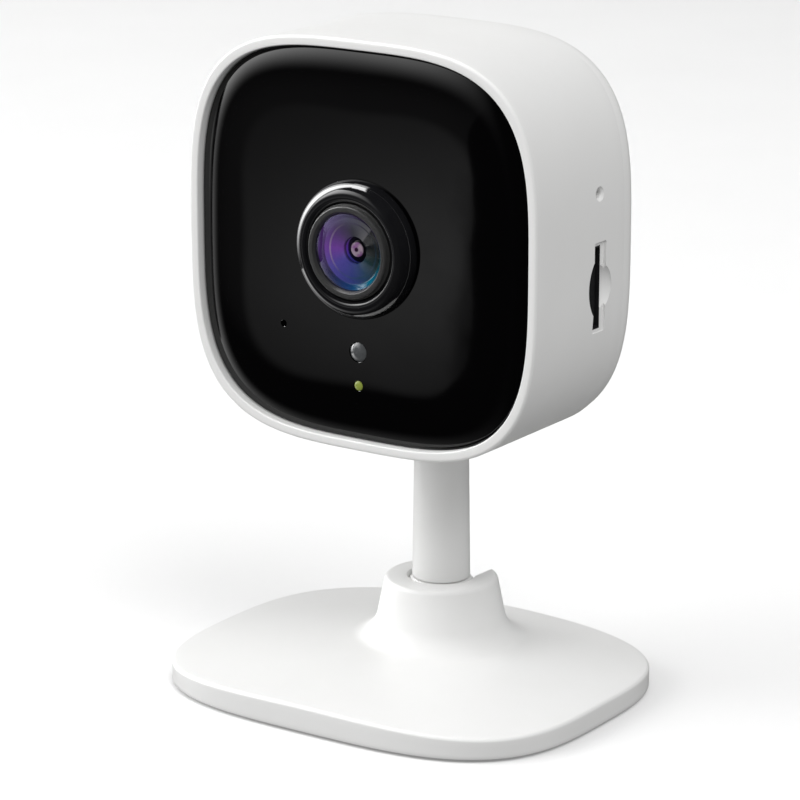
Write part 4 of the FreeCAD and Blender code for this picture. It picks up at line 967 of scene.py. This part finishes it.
# ------------------------------------------------------------------------------ speaker
# A 20 mm speaker behind the sound holes: a black steel basket with a pressed paper cone, and
# a foam ring that seals it to the cover.
speaker_black, speaker_place, speaker_shader = start_finish("speaker_black", Roughness=0.6)
feed(speaker_shader,
     Base_Color=blend_shades(grain(speaker_place, 0.5 * mm, 4.0),
                             (0.010, 0.010, 0.011), (0.035, 0.035, 0.037)),
     Roughness=grain(speaker_place, 1 * mm) * 0.25 + 0.45,
     Normal=relief(grain(speaker_place, 0.2 * mm, 4.0), 0.04 * mm, 0.6))
speaker_half = speaker_high.x
cone_y = speaker_high.y
speaker_profile = eased([(0.0, speaker_low.y, 0), (0.55 * speaker_half, speaker_low.y, 0.3 * mm),
                         (0.55 * speaker_half, speaker_low.y + 0.9 * mm, 0),
                         (speaker_half, speaker_low.y + 1.7 * mm, 0.2 * mm),
                         (speaker_half, cone_y, 0.15 * mm), (0.9 * speaker_half, cone_y, 0.15 * mm),
                         (0.82 * speaker_half, cone_y - 0.55 * mm, 0.4 * mm),
                         (0.74 * speaker_half, cone_y - 0.2 * mm, 0.4 * mm),
                         (0.42 * speaker_half, cone_y - 1.1 * mm, 0.2 * mm),
                         (0.22 * speaker_half, cone_y - 0.72 * mm, 1.2 * mm),
                         (0.0, cone_y - 0.6 * mm, 0)], 5)
speaker = turned("speaker_cone", speaker_profile, (0, 0, speaker_z), "Y", 96)
smooth(speaker)
mount(speaker, speaker_black, "head", "speaker_black", "speaker")

black_foam, foam_place, foam_shader = start_finish("black_foam", Roughness=0.9)
foam_cells = foam_place.make("ShaderNodeTexVoronoi", None, {"Vector": foam_place, "Scale": 1 / (0.25 * mm)})
feed(foam_shader,
     Base_Color=blend_shades(foam_cells, (0.01, 0.01, 0.01), (0.05, 0.05, 0.05)),
     Roughness=foam_cells * 0.1 + 0.85, Normal=relief(foam_cells, 0.08 * mm, 0.7))
dress(black_foam, "speaker_gasket", "panel_gasket")

# ------------------------------------------------------------------------------ dark face
# Glossy black plate that passes infrared light, moulded in tinted polycarbonate and polished.
# It sits below the white rim, steps up at its edge and swells to a flat middle.  Its outline
# goes from the head's squircle to the round hole for the lens, so a rule lays its surface.
face_front_y = panel_low.y
face_edge_y = rim_y + 1.3 * mm
face_back_y = panel_high.y
face_half_wide = panel_high.x
face_half_tall = (panel_high.z - panel_low.z) / 2
face_step = 0.35 * mm
face_swell = 9.0 * mm
lens_hole = 8.85 * mm

face_rule, given = start_rule("swollen_plate", ("Half width", "Float"), ("Half height", "Float"),
                              ("Corner power", "Float"), ("Hole radius", "Float"), ("Edge height", "Float"),
                              ("Swell", "Float"), ("Swell width", "Float"), ("Finish", "Material"))
sheet = given["Geometry"].make("GeometryNodeMeshGrid", None,
                               {"Size X": 1.0, "Size Y": 1.0, "Vertices X": 60, "Vertices Y": 321})
spot = sheet.make("GeometryNodeInputPosition")
sides = spot.make("ShaderNodeSeparateXYZ", None, {0: spot}).socket.node.outputs
run = Wash(face_rule, sides[0]) + 0.5
run = run ** 1.7
turn = (Wash(face_rule, sides[1]) + 0.5) * (2 * math.pi)
cosine = turn.make("ShaderNodeMath", {"operation": "COSINE"}, {0: turn})
sine = turn.make("ShaderNodeMath", {"operation": "SINE"}, {0: turn})


def size_of(amount):
    return amount.make("ShaderNodeMath", {"operation": "ABSOLUTE"}, {0: amount})


reach = size_of(cosine / given["Half width"]) ** given["Corner power"]
reach = reach + size_of(sine / given["Half height"]) ** given["Corner power"]
reach = reach ** (-1.0 / given["Corner power"])
span = (reach - given["Hole radius"]) * run
inward = span.make("ShaderNodeMath", {"operation": "MINIMUM"}, {0: span / given["Swell width"], 1: 1.0})
rise = 1.0 - (1.0 - inward) ** 2.6
radius = reach - span
out_y = given["Edge height"] - given["Swell"] * rise
laid = spot.make("ShaderNodeCombineXYZ", None, {0: radius * cosine, 1: out_y, 2: radius * sine})
sheet = sheet.make("GeometryNodeSetPosition", None, {"Geometry": sheet, "Position": laid})
sheet = sheet.make("GeometryNodeMergeByDistance", None, {"Geometry": sheet, "Distance": 0.01 * mm})
close_rule(sheet, given["Finish"])

black_panel, face_place, face_shader = start_finish(
    "polished_black_polycarbonate", Roughness=0.05, IOR=1.53, Specular_IOR_Level=0.42)
polish_waves = grain(face_place, 14 * mm, 1.0)
fine_dust = between(grain(face_place, 0.35 * mm, 5.0), 0.72, 0.86)
feed(face_shader,
     Base_Color=blend_shades(fine_dust, (0.0009, 0.0008, 0.0010), (0.004, 0.004, 0.004)),
     Roughness=between(grain(face_place, 5 * mm, 3.0), 0.3, 0.8) * 0.03 + 0.045,
     Normal=relief(polish_waves, 0.05 * mm, 0.25))
face = grow("front_panel_face", face_rule, [(0, 0, 0)], Half_width=face_half_wide - face_step,
            Half_height=face_half_tall - face_step, Corner_power=head_power, Hole_radius=lens_hole,
            Edge_height=face_edge_y - 0.18 * mm, Swell=face_edge_y - 0.18 * mm - face_front_y,
            Swell_width=face_swell, Finish=black_panel)
face.data.transform(Matrix.Translation((0, 0, head_z)))

plate = bmesh.new()
plate.from_mesh(face.data)


def loop_from(edges, far):
    """The boundary loop that lies farthest from, or nearest to, the lens axis."""
    def away(edge):
        return math.hypot(edge.verts[0].co.x, edge.verts[0].co.z - head_z)
    return [edge for edge in edges if edge.is_boundary and (away(edge) > 14 * mm) == far]


edges = loop_from(plate.edges, True)
for grow_by, y in ((0.06 * mm, face_edge_y - 0.05 * mm), (0.10 * mm, face_edge_y + 0.05 * mm),
                   (face_step - 0.08 * mm, face_edge_y + 0.05 * mm), (face_step, face_edge_y + 0.13 * mm),
                   (face_step, face_back_y)):
    made = bmesh.ops.extrude_edge_only(plate, edges=edges)["geom"]
    outline_share = (face_half_wide - face_step + grow_by) / face_half_wide
    for vert in [item for item in made if isinstance(item, bmesh.types.BMVert)]:
        turn = math.atan2(vert.co.z - head_z, vert.co.x)
        reach = abs(math.cos(turn) / face_half_wide) ** head_power
        reach += abs(math.sin(turn) / face_half_tall) ** head_power
        reach = reach ** (-1 / head_power) * outline_share
        vert.co = (reach * math.cos(turn), y, head_z + reach * math.sin(turn))
    edges = [item for item in made if isinstance(item, bmesh.types.BMEdge) and item.is_boundary]
outer_back = edges
inner = loop_from(plate.edges, False)
made = bmesh.ops.extrude_edge_only(plate, edges=inner)["geom"]
for vert in [item for item in made if isinstance(item, bmesh.types.BMVert)]:
    vert.co.y = face_back_y
inner_back = [item for item in made if isinstance(item, bmesh.types.BMEdge) and item.is_boundary]
bmesh.ops.bridge_loops(plate, edges=outer_back + inner_back)
bmesh.ops.recalc_face_normals(plate, faces=plate.faces)
plate.to_mesh(face.data)
plate.free()

window_low, window_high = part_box("sensor_window")
pipe_low, pipe_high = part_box("status_light_pipe")
boot_low, boot_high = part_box("microphone_boot")
window_z = (window_low.z + window_high.z) / 2
pipe_z = (pipe_low.z + pipe_high.z) / 2
sound_x = (boot_low.x + boot_high.x) / 2
sound_z = (boot_low.z + boot_high.z) / 2
window_radius = 1.4 * mm
pipe_radius = 0.7 * mm


def face_hole(x, z, radius):
    """Tool for a round hole in the face with a small chamfer."""
    return turned("face_hole", [(0.0, -1 * mm), (radius + 0.35 * mm, -0.25 * mm), (radius, 0.08 * mm),
                                (radius, 5 * mm), (0.0, 5 * mm)], (x, face_front_y, z), "Y", 40)


cut(face, face_hole(0, window_z, window_radius + 0.05 * mm), face_hole(0, pipe_z, pipe_radius + 0.04 * mm),
    face_hole(sound_x, sound_z, 0.45 * mm))
smooth(face, 28)
mount(face, black_panel, "head", "black_panel", "front_panel")

# ------------------------------------------------------------------------------ lens collar
# Turned ring, gloss black, that flares from the lens barrel down to the face like a shallow
# bell and hides the joint between them.
barrel_low, barrel_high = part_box("lens_barrel")
collar_low, collar_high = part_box("lens_collar")
lens_y = barrel_low.y
barrel_radius = 6.95 * mm
collar_foot = collar_high.x
collar_mouth_y = collar_low.y
collar_top_y = collar_mouth_y + 0.02 * mm
collar_foot_y = face_front_y - 0.02 * mm
collar_inner = barrel_radius + 0.1 * mm
collar_crest = 7.95 * mm
collar_profile = [(collar_inner, collar_high.y), (8.8 * mm, collar_high.y), (8.8 * mm, collar_foot_y)]
for side, end, back in ((1, collar_foot, collar_foot_y), (-1, collar_inner, collar_top_y + 0.9 * mm)):
    arc = [(collar_crest + (end - collar_crest) * math.cos(k * math.pi / 44),
            back - (back - collar_top_y) * math.sin(k * math.pi / 44)) for k in range(23)]
    collar_profile += arc if side == 1 else arc[-2::-1]
collar = turned("lens_collar_ring", collar_profile, (0, 0, head_z), "Y", 200, looped=True)
smooth(collar, 40)
black_gloss, gloss_place, gloss_shader = start_finish(
    "piano_black", Roughness=0.06, IOR=1.5, Coat_Weight=0.6, Coat_Roughness=0.03)
feed(gloss_shader,
     Base_Color=blend_shades(grain(gloss_place, 3 * mm), (0.005, 0.005, 0.006), (0.010, 0.010, 0.011)),
     Roughness=grain(gloss_place, 1.2 * mm, 3.0) * 0.06 + 0.05,
     Normal=relief(grain(gloss_place, 5 * mm), 0.02 * mm, 0.3))
mount(collar, black_gloss, "head", "black_gloss", "lens_collar")

# ------------------------------------------------------------------------------ lens barrel
# Black anodised aluminium tube, threaded into the holder, that holds the lens elements.  Its
# wide front flange is finely turned and its inside is stepped with baffle rings.
glass_bore = 5.6 * mm
flange_back = lens_y + 4.6 * mm
flange_face = 6.65 * mm
barrel_corners = [(glass_bore, lens_y + 0.5 * mm, 0), (glass_bore + 0.32 * mm, lens_y, 0.12 * mm),
                  (flange_face, lens_y, 0.2 * mm), (flange_face, lens_y + 0.7 * mm, 0.1 * mm),
                  (barrel_radius, lens_y + 0.7 * mm, 0.1 * mm), (barrel_radius, flange_back, 0.1 * mm),
                  (5.95 * mm, flange_back, 0.05 * mm), (5.95 * mm, barrel_high.y, 0.1 * mm),
                  (3.5 * mm, barrel_high.y, 0.05 * mm), (3.5 * mm, barrel_high.y - 0.9 * mm, 0),
                  (4.4 * mm, barrel_high.y - 0.9 * mm, 0), (4.4 * mm, lens_y + 4.1 * mm, 0.05 * mm),
                  (glass_bore, lens_y + 4.1 * mm, 0)]
barrel = turned("lens_barrel_tube", eased(barrel_corners, 5), (0, 0, head_z), "Y", 160, looped=True)
smooth(barrel, 30)
black_barrel, barrel_place, barrel_shader = start_finish(
    "black_anodised_aluminium", Metallic=0.0, IOR=1.5)
centred = barrel_place.make("ShaderNodeMapping", None,
                            {"Vector": barrel_place, "Location": (0.0, 0.0, -head_z)}, "Vector")
spread = centred.make("ShaderNodeSeparateXYZ", None, {0: centred}).socket.node.outputs
barrel_reach = (Wash(centred.tree, spread[0]) ** 2.0 + Wash(centred.tree, spread[2]) ** 2.0) ** 0.5
turning_marks = (barrel_reach * (2 * math.pi / (0.11 * mm)))
turning_marks = turning_marks.make("ShaderNodeMath", {"operation": "SINE"}, {0: turning_marks}) * 0.5 + 0.5
feed(barrel_shader,
     Base_Color=blend_shades(grain(barrel_place, 0.8 * mm), (0.028, 0.028, 0.028), (0.042, 0.042, 0.042)),
     Roughness=turning_marks * 0.1 + 0.3, Normal=relief(turning_marks, 0.004 * mm, 0.4))
mount(barrel, black_barrel, "head", "black_barrel", "lens_barrel")
dress(black_barrel, "aperture_stop", "lens_retainer")

# ------------------------------------------------------------------------------ lens glass
# A strongly curved front element with a broadband coating, a second element behind it, and
# the small stop where the pupil shows.  Each is ground glass with a blackened edge.
glass_edge_y = lens_y + 0.35 * mm
front_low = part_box("lens_front_glass")[0]
glass_rise = glass_edge_y - front_low.y


def bowl(radius, rise, steps):
    """Profile of a ball-shaped cap of this radius and rise, from its edge to its middle."""
    ball = (radius ** 2 + rise ** 2) / (2 * rise)
    half = math.asin(min(1.0, radius / ball))
    points = []
    for step in range(steps + 1):
        angle = half * (1 - step / steps)
        points.append((ball * math.sin(angle), rise - ball * (1 - math.cos(angle))))
    return [(r if r > 1e-9 else 0.0, h) for r, h in points]


coated_glass, coat_place, coat_shader = start_finish(
    "coated_front_glass", IOR=1.9, Specular_IOR_Level=0.6, Specular_Tint=(0.62, 0.60, 1.0, 1.0))
glass_smear = grain(coat_place, 0.5 * mm, 4.0)
feed(coat_shader,
     Base_Color=blend_shades(glass_smear, (0.001, 0.001, 0.002), (0.004, 0.004, 0.006)),
     Roughness=between(glass_smear, 0.7, 0.95) * 0.05 + 0.01,
     Alpha=between(glass_smear, 0.2, 0.9) * 0.04 + 0.26)
glass_radius = 5.55 * mm
front_profile = [(r, glass_edge_y - h) for r, h in reversed(bowl(glass_radius, glass_rise, 24))]
front_profile += [(glass_radius, glass_edge_y + 0.5 * mm)]
front_profile += [(r, glass_edge_y + 0.5 * mm - h)
                  for r, h in bowl(glass_radius - 0.4 * mm, glass_rise * 0.9, 16)]
front_glass = turned("lens_front_element", front_profile, (0, 0, head_z), "Y", 128)
smooth(front_glass, 40)
mount(front_glass, coated_glass, "head", "coated_glass", "lens_front_glass")


def round_the_lens(place):
    """Reach from the lens axis, and turn round it from 0 to 1, for a finish."""
    centred = place.make("ShaderNodeMapping", None,
                         {"Vector": place, "Location": (0.0, 0.0, -head_z)}, "Vector")
    spread = centred.make("ShaderNodeSeparateXYZ", None, {0: centred}).socket.node.outputs
    right = Wash(place.tree, spread[0])
    up = Wash(place.tree, spread[2])
    reach = (right * right + up * up) ** 0.5
    turn = right.make("ShaderNodeMath", {"operation": "ARCTAN2"}, {0: up, 1: right})
    return reach, turn / (2 * math.pi) + 0.5


def ramp(amount, stops):
    """Colour that runs through (share, colour) stops."""
    made = amount.make("ShaderNodeValToRGB", None, {"Fac": amount}, "Color")
    slope = made.socket.node.color_ramp
    while len(slope.elements) < len(stops):
        slope.elements.new(0.5)
    for element, (share, shade) in zip(slope.elements, stops):
        element.position = share
        element.color = (*shade, 1.0)
    return made


# Painted reflections: the inner glass and the spacer dish get colours laid round the lens axis (violet on
# the left, blue and teal below, dark on the right, grey above) that stand in for the coating's reflections,
# and a faint emission glow makes them brighter.
inner_glass, inner_place, inner_shader = start_finish(
    "coated_inner_glass", IOR=1.5, Emission_Strength=0.16)
inner_reach, inner_turn = round_the_lens(inner_place)
violet = (0.42, 0.14, 0.85)
bowl_painted_reflection = ramp(inner_turn, [
    (0.0, violet), (0.10, (0.20, 0.16, 0.75)), (0.24, (0.055, 0.085, 0.42)), (0.34, (0.02, 0.09, 0.20)),
    (0.42, (0.006, 0.05, 0.055)), (0.50, (0.012, 0.022, 0.018)), (0.625, (0.018, 0.018, 0.018)),
    (0.635, (0.26, 0.26, 0.27)), (0.76, (0.13, 0.13, 0.16)), (0.86, (0.22, 0.14, 0.36)), (1.0, violet)])
band_painted_reflection = ramp(inner_turn, [
    (0.0, (0.16, 0.05, 0.34)), (0.12, (0.03, 0.03, 0.12)), (0.24, (0.01, 0.08, 0.30)),
    (0.36, (0.0, 0.30, 0.48)), (0.46, (0.0, 0.10, 0.10)), (0.60, (0.01, 0.015, 0.015)),
    (0.76, (0.06, 0.05, 0.09)), (0.90, (0.22, 0.09, 0.42)), (1.0, (0.16, 0.05, 0.34))])
on_band = between(inner_reach, 4.70 * mm, 4.86 * mm)
# A thin ring at about 4 mm carries a painted highlight, brightest on the left.
ridge = between(inner_reach, 3.75 * mm, 3.95 * mm) * between(inner_reach, 4.15 * mm, 4.0 * mm)
ridge_painted_highlight = ramp(inner_turn, [
    (0.0, (0.80, 0.55, 1.0)), (0.16, (0.12, 0.14, 0.50)), (0.30, (0.02, 0.10, 0.20)),
    (0.60, (0.02, 0.03, 0.03)), (0.80, (0.16, 0.14, 0.22)), (1.0, (0.80, 0.55, 1.0))])
coating = blend_shades(on_band, blend_shades(ridge, bowl_painted_reflection, ridge_painted_highlight), band_painted_reflection)
# In the middle: a near-black painted shade for the pupil, a pink painted highlight for the iris and a small
# dark centre.
in_pupil_shade = between(inner_reach, 2.0 * mm, 1.85 * mm)
in_iris_highlight = between(inner_reach, 1.15 * mm, 0.95 * mm)
in_stop = between(inner_reach, 0.38 * mm, 0.26 * mm)
iris_painted_highlight = blend_shades(between(grain(inner_place, 1.1 * mm), 0.35, 0.65),
                          (0.55, 0.22, 0.62), (0.95, 0.75, 0.90))
coating = blend_shades(in_pupil_shade, coating, (0.002, 0.002, 0.002))
coating = blend_shades(in_iris_highlight, coating, iris_painted_highlight)
coating = blend_shades(in_stop, coating, (0.05, 0.01, 0.05))
feed(inner_shader, Base_Color=coating, Emission_Color=coating,
     Roughness=grain(inner_place, 0.4 * mm, 4.0) * 0.08 + 0.10)
rim_y_in = glass_edge_y
dish_edge = glass_radius - 0.02 * mm
dish_back_y = rim_y_in + 2.4 * mm
dish_profile = eased([(dish_edge, rim_y_in + 0.55 * mm, 0), (4.9 * mm, rim_y_in + 1.05 * mm, 0.1 * mm),
                      (4.72 * mm, rim_y_in + 1.15 * mm, 0.1 * mm),
                      (1.95 * mm, rim_y_in + 1.85 * mm, 0.05 * mm),
                      (1.9 * mm, dish_back_y, 0), (dish_edge, dish_back_y, 0)], 4)
dish = turned("lens_spacer_dish", dish_profile, (0, 0, head_z), "Y", 144, looped=True)
smooth(dish, 30)
mount(dish, inner_glass, "head", "inner_glass", "lens_spacer")
second_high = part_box("lens_second_glass")[1]
inner_radius = 4.35 * mm
second_profile = [(r, rim_y_in + 2.9 * mm - h) for r, h in reversed(bowl(1.88 * mm, 0.7 * mm, 20))]
second_profile += [(inner_radius, rim_y_in + 2.9 * mm), (inner_radius, second_high.y)]
second_profile += [(r, second_high.y - h) for r, h in bowl(inner_radius - 0.6 * mm, 0.6 * mm, 12)]
second_glass = turned("lens_second_element", second_profile, (0, 0, head_z), "Y", 96)
smooth(second_glass, 40)
mount(second_glass, inner_glass, "head", "inner_glass", "lens_second_glass")
dress(inner_glass, "lens_rear_glass")

# ------------------------------------------------------------------------------ small windows
# Below the lens a smoked dome lets light reach the daylight sensor, and a green light pipe
# shows the state of the camera.  Both are clear mouldings pressed into holes in the face.
smoked_window, smoke_place, smoke_shader = start_finish(
    "smoked_polycarbonate", Roughness=0.12, IOR=1.5, Coat_Weight=0.5, Coat_Roughness=0.05)
feed(smoke_shader,
     Base_Color=blend_shades(grain(smoke_place, 0.9 * mm), (0.055, 0.058, 0.060), (0.10, 0.105, 0.11)),
     Roughness=grain(smoke_place, 0.3 * mm) * 0.1 + 0.10)


def light_plug(name, z, high, radius, crown, flange):
    """Domed plug through the face, with a flange behind it."""
    profile = [(r, face_front_y + 0.1 * mm - h) for r, h in reversed(bowl(radius, crown, 14))]
    profile += [(radius, face_back_y + 0.05 * mm), (flange, face_back_y + 0.05 * mm),
                (flange, face_back_y + 0.65 * mm), (radius, face_back_y + 0.65 * mm), (radius, high.y),
                (0.0, high.y)]
    return turned(name, profile, (0, 0, z), "Y", 64)


sensor_window = light_plug("sensor_window_dome", window_z, window_high, window_radius,
                           face_front_y + 0.1 * mm - window_low.y, 2.1 * mm)
smooth(sensor_window)
mount(sensor_window, smoked_window, "head", "smoked_window", "sensor_window")

green_pipe, pipe_place, pipe_shader = start_finish(
    "green_light_pipe", Roughness=0.2, IOR=1.5, Emission_Strength=0.25)
pipe_glow = grain(pipe_place, 0.7 * mm)
feed(pipe_shader,
     Base_Color=blend_shades(pipe_glow, (0.14, 0.18, 0.03), (0.24, 0.28, 0.06)),
     Emission_Color=blend_shades(pipe_glow, (0.16, 0.22, 0.02), (0.26, 0.30, 0.05)),
     Roughness=pipe_glow * 0.15 + 0.15)
light_pipe = light_plug("status_light_dome", pipe_z, pipe_high, pipe_radius,
                        face_front_y + 0.1 * mm - pipe_low.y, 1.3 * mm)
smooth(light_pipe)
mount(light_pipe, green_pipe, "head", "green_light_pipe", "status_light_pipe")

black_rubber, black_rubber_place, black_rubber_shader = start_finish("black_rubber", Roughness=0.75)
feed(black_rubber_shader,
     Base_Color=blend_shades(grain(black_rubber_place, 1 * mm), (0.012, 0.012, 0.012), (0.03, 0.03, 0.03)),
     Roughness=grain(black_rubber_place, 0.4 * mm) * 0.2 + 0.62,
     Normal=relief(grain(black_rubber_place, 0.2 * mm), 0.02 * mm, 0.5))
dress(black_rubber, "microphone_boot", "light_baffle")

# ------------------------------------------------------------------------------ memory card
# A moulded black card with gold contacts, held in a stamped tin-plated shell on the main
# board.  Its outer end has a ridge for the fingernail and stands just inside the wall.
black_card, card_place, card_shader = start_finish("black_card", Roughness=0.45, IOR=1.5)
feed(card_shader,
     Base_Color=blend_shades(grain(card_place, 2 * mm), (0.010, 0.010, 0.011), (0.022, 0.022, 0.023)),
     Roughness=grain(card_place, 0.6 * mm) * 0.15 + 0.36,
     Normal=relief(grain(card_place, 0.1 * mm), 0.008 * mm, 0.5))
card_half = (card_high.y - card_low.y) / 2
card_rings = []
for x, grow_by in ((card_low.x, -0.15 * mm), (card_low.x + 0.15 * mm, 0.0),
                   (card_high.x - 0.9 * mm, 0.0), (card_high.x - 0.85 * mm, -0.16 * mm),
                   (card_high.x - 0.5 * mm, -0.16 * mm), (card_high.x - 0.42 * mm, 0.0),
                   (card_high.x - 0.12 * mm, 0.0), (card_high.x, -0.12 * mm)):
    outline = soft_square(card_half + grow_by, (card_high.z - card_low.z) / 2 + grow_by, 0.25 * mm, 4)
    card_rings.append([(x, port_y + y, card_z + z) for y, z in outline])
card_ends = [[(x, port_y, card_z)] for x in (card_low.x, card_high.x)]
card = skin("memory_card_slab", [card_ends[0], *card_rings, card_ends[1]])
smooth(card)
mount(card, black_card, "card", "black_card", "memory_card")

# Black lining on the slot's walls: it stands for the card socket's front moulding, and it is painted shade
# that makes the inside of the slot read dark.
socket_front_and_shade_lining = wall_block("card_slot_liner", [(wall_x - 2.15 * mm, slot_outline(0.03 * mm)),
                                       (wall_x - 0.46 * mm, slot_outline(0.03 * mm)),
                                       (wall_x - 0.40 * mm, slot_outline(0.09 * mm))])
slit_tool = side_tool("slit_tool", [(wall_x - 4 * mm, 0.0), (wall_x + 1 * mm, 0.0)],
                      port_y - 0.175 * mm, card_z, 0.775 * mm, 5.75 * mm, 0.1 * mm)
cut(socket_front_and_shade_lining, slit_tool)
smooth(socket_front_and_shade_lining)
mount(socket_front_and_shade_lining, black_card, "head", "black_card")

tin_mark_size = 0.3 * mm
tin_shield = metal_finish("tin_plate", (0.70, 0.70, 0.68), (0.55, 0.55, 0.53), 0.3, tin_mark_size)
dress(tin_shield, "card_socket", "shield_can")

# ------------------------------------------------------------------------------ reset button
# White acetal pin of a side-push switch on the main board, reached through the flared hole
# in the right wall with a bent paper clip.
button_half_y = (button_high.y - button_low.y) / 2
button_half_z = (button_high.z - button_low.z) / 2
button_rings = []
for x, grow_by in ((button_low.x, -0.1 * mm), (button_low.x + 0.1 * mm, 0.0),
                   (button_high.x - 0.15 * mm, 0.0), (button_high.x, -0.15 * mm)):
    outline = soft_square(button_half_y + grow_by, button_half_z + grow_by, 0.22 * mm, 4)
    button_rings.append([(x, port_y + y, reset_z + z) for y, z in outline])
button_ends = [[(x, port_y, reset_z)] for x in (button_low.x, button_high.x)]
button = skin("reset_button_pin", [button_ends[0], *button_rings, button_ends[1]])
smooth(button)
mount(button, white_acetal, "reset", "white_button", "reset_button")
dress(black_inlet, "reset_switch")

# ------------------------------------------------------------------------------ lens holder
# Black nylon block glued over the image sensor.  The lens screws into its front, and inside
# it a small slide swings either a blue-green filter or clear glass in front of the sensor,
# thrown by a coil that acts on a magnet.
black_nylon, nylon_place, nylon_shader = start_finish("black_nylon", Roughness=0.55, IOR=1.5)
feed(nylon_shader,
     Base_Color=blend_shades(grain(nylon_place, 1.2 * mm), (0.015, 0.015, 0.016), (0.035, 0.035, 0.036)),
     Roughness=grain(nylon_place, 0.6 * mm) * 0.15 + 0.47,
     Normal=relief(grain(nylon_place, 0.15 * mm), 0.015 * mm, 0.5))
dress(black_nylon, "lens_holder", "filter_frame")

cyan_filter, cyan_place, cyan_shader = start_finish(
    "infrared_cut_glass", IOR=1.5, Coat_Weight=0.8, Coat_Roughness=0.02)
feed(cyan_shader,
     Base_Color=blend_shades(grain(cyan_place, 1.5 * mm), (0.10, 0.45, 0.48), (0.16, 0.55, 0.56)),
     Roughness=grain(cyan_place, 0.5 * mm) * 0.04 + 0.03)
dress(cyan_filter, "infrared_cut_filter")
clear_glass, clear_place, clear_shader = start_finish(
    "clear_cover_glass", IOR=1.5, Transmission_Weight=0.9)
feed(clear_shader,
     Base_Color=blend_shades(grain(clear_place, 1.5 * mm), (0.90, 0.93, 0.92), (0.96, 0.98, 0.97)),
     Roughness=grain(clear_place, 0.5 * mm) * 0.03 + 0.02)
dress(clear_glass, "clear_filter")
dress(metal_finish("nickel_magnet", (0.62, 0.60, 0.57), (0.50, 0.48, 0.45), 0.25, 0.2 * mm), "filter_magnet")

copper_coil, coil_place, coil_shader = start_finish("enamelled_copper", Metallic=1.0, Coat_Weight=0.6)
windings = coil_place.make("ShaderNodeTexWave", {"wave_type": "BANDS", "bands_direction": "X"},
                           {"Vector": coil_place, "Scale": 1 / (0.8 * mm), "Distortion": 0.4})
feed(coil_shader,
     Base_Color=blend_shades(windings, (0.35, 0.12, 0.05), (0.72, 0.33, 0.15)),
     Roughness=windings * 0.2 + 0.25, Normal=relief(windings, 0.05 * mm, 0.7))
dress(copper_coil, "filter_coil")

sensor_chip, chip_place, chip_shader = start_finish(
    "sensor_glass", IOR=1.52, Coat_Weight=1.0, Coat_Roughness=0.02, Thin_Film_Thickness=500.0,
    Thin_Film_IOR=1.6)
sensor_mottle = grain(chip_place, 0.6 * mm)
feed(chip_shader, Base_Color=blend_shades(sensor_mottle, (0.03, 0.05, 0.07), (0.08, 0.06, 0.10)),
     Roughness=sensor_mottle * 0.1 + 0.08)
dress(sensor_chip, "image_sensor")

# ------------------------------------------------------------------------------ boards
# Three printed boards: a ring behind the face with the infrared lamps, one that carries the
# image sensor, and the main board at the back.  They are glass-epoxy with white-topped green
# or black solder mask, and brass pillars hold the front two apart.
circuit_board, board_place, board_shader = start_finish("solder_mask", Roughness=0.4, IOR=1.5)
cells = board_place.make("ShaderNodeTexVoronoi", {"feature": "DISTANCE_TO_EDGE", "distance": "MANHATTAN"},
                         {"Vector": board_place, "Scale": 1 / (2.4 * mm), "Randomness": 0.8})
tracks = between(cells, 0.06, 0.10)
feed(board_shader,
     Base_Color=blend_shades(tracks, (0.030, 0.110, 0.050), (0.010, 0.050, 0.022)),
     Roughness=tracks * 0.1 + 0.33, Normal=relief(tracks, 0.03 * mm, 0.4))
dress(circuit_board, "led_board", "sensor_board", "main_board")
dress(metal_finish("brass", (0.72, 0.55, 0.25), (0.58, 0.42, 0.18), 0.3, 0.15 * mm), "board_spacers")

led_pack, lamp_place, lamp_shader = start_finish("lamp_epoxy", IOR=1.52, Coat_Weight=0.6)
lamp_core = grain(lamp_place, 0.8 * mm)
feed(lamp_shader, Base_Color=blend_shades(lamp_core, (0.35, 0.33, 0.25), (0.70, 0.68, 0.58)),
     Roughness=lamp_core * 0.1 + 0.12)
dress(led_pack, "infrared_leds", "status_led", "light_sensor")

chip_black, epoxy_place, epoxy_shader = start_finish("chip_epoxy", Roughness=0.6, IOR=1.5)
feed(epoxy_shader,
     Base_Color=blend_shades(grain(epoxy_place, 1 * mm), (0.018, 0.018, 0.019), (0.04, 0.04, 0.042)),
     Roughness=grain(epoxy_place, 0.4 * mm) * 0.2 + 0.5,
     Normal=relief(grain(epoxy_place, 0.12 * mm), 0.01 * mm, 0.5))
dress(chip_black, "main_chip")
dress(tin_shield, "microphone")

amber_flex, flex_place, flex_shader = start_finish("amber_polyimide", IOR=1.6)
flex_lines = flex_place.make("ShaderNodeTexWave", {"wave_type": "BANDS", "bands_direction": "X"},
                             {"Vector": flex_place, "Scale": 1 / (2.6 * mm), "Distortion": 0.0})
feed(flex_shader,
     Base_Color=blend_shades(between(flex_lines, 0.4, 0.6), (0.42, 0.17, 0.03), (0.62, 0.30, 0.06)),
     Roughness=flex_lines * 0.1 + 0.25, Normal=relief(flex_lines, 0.01 * mm, 0.5))
dress(amber_flex, "sensor_flex", "antenna")
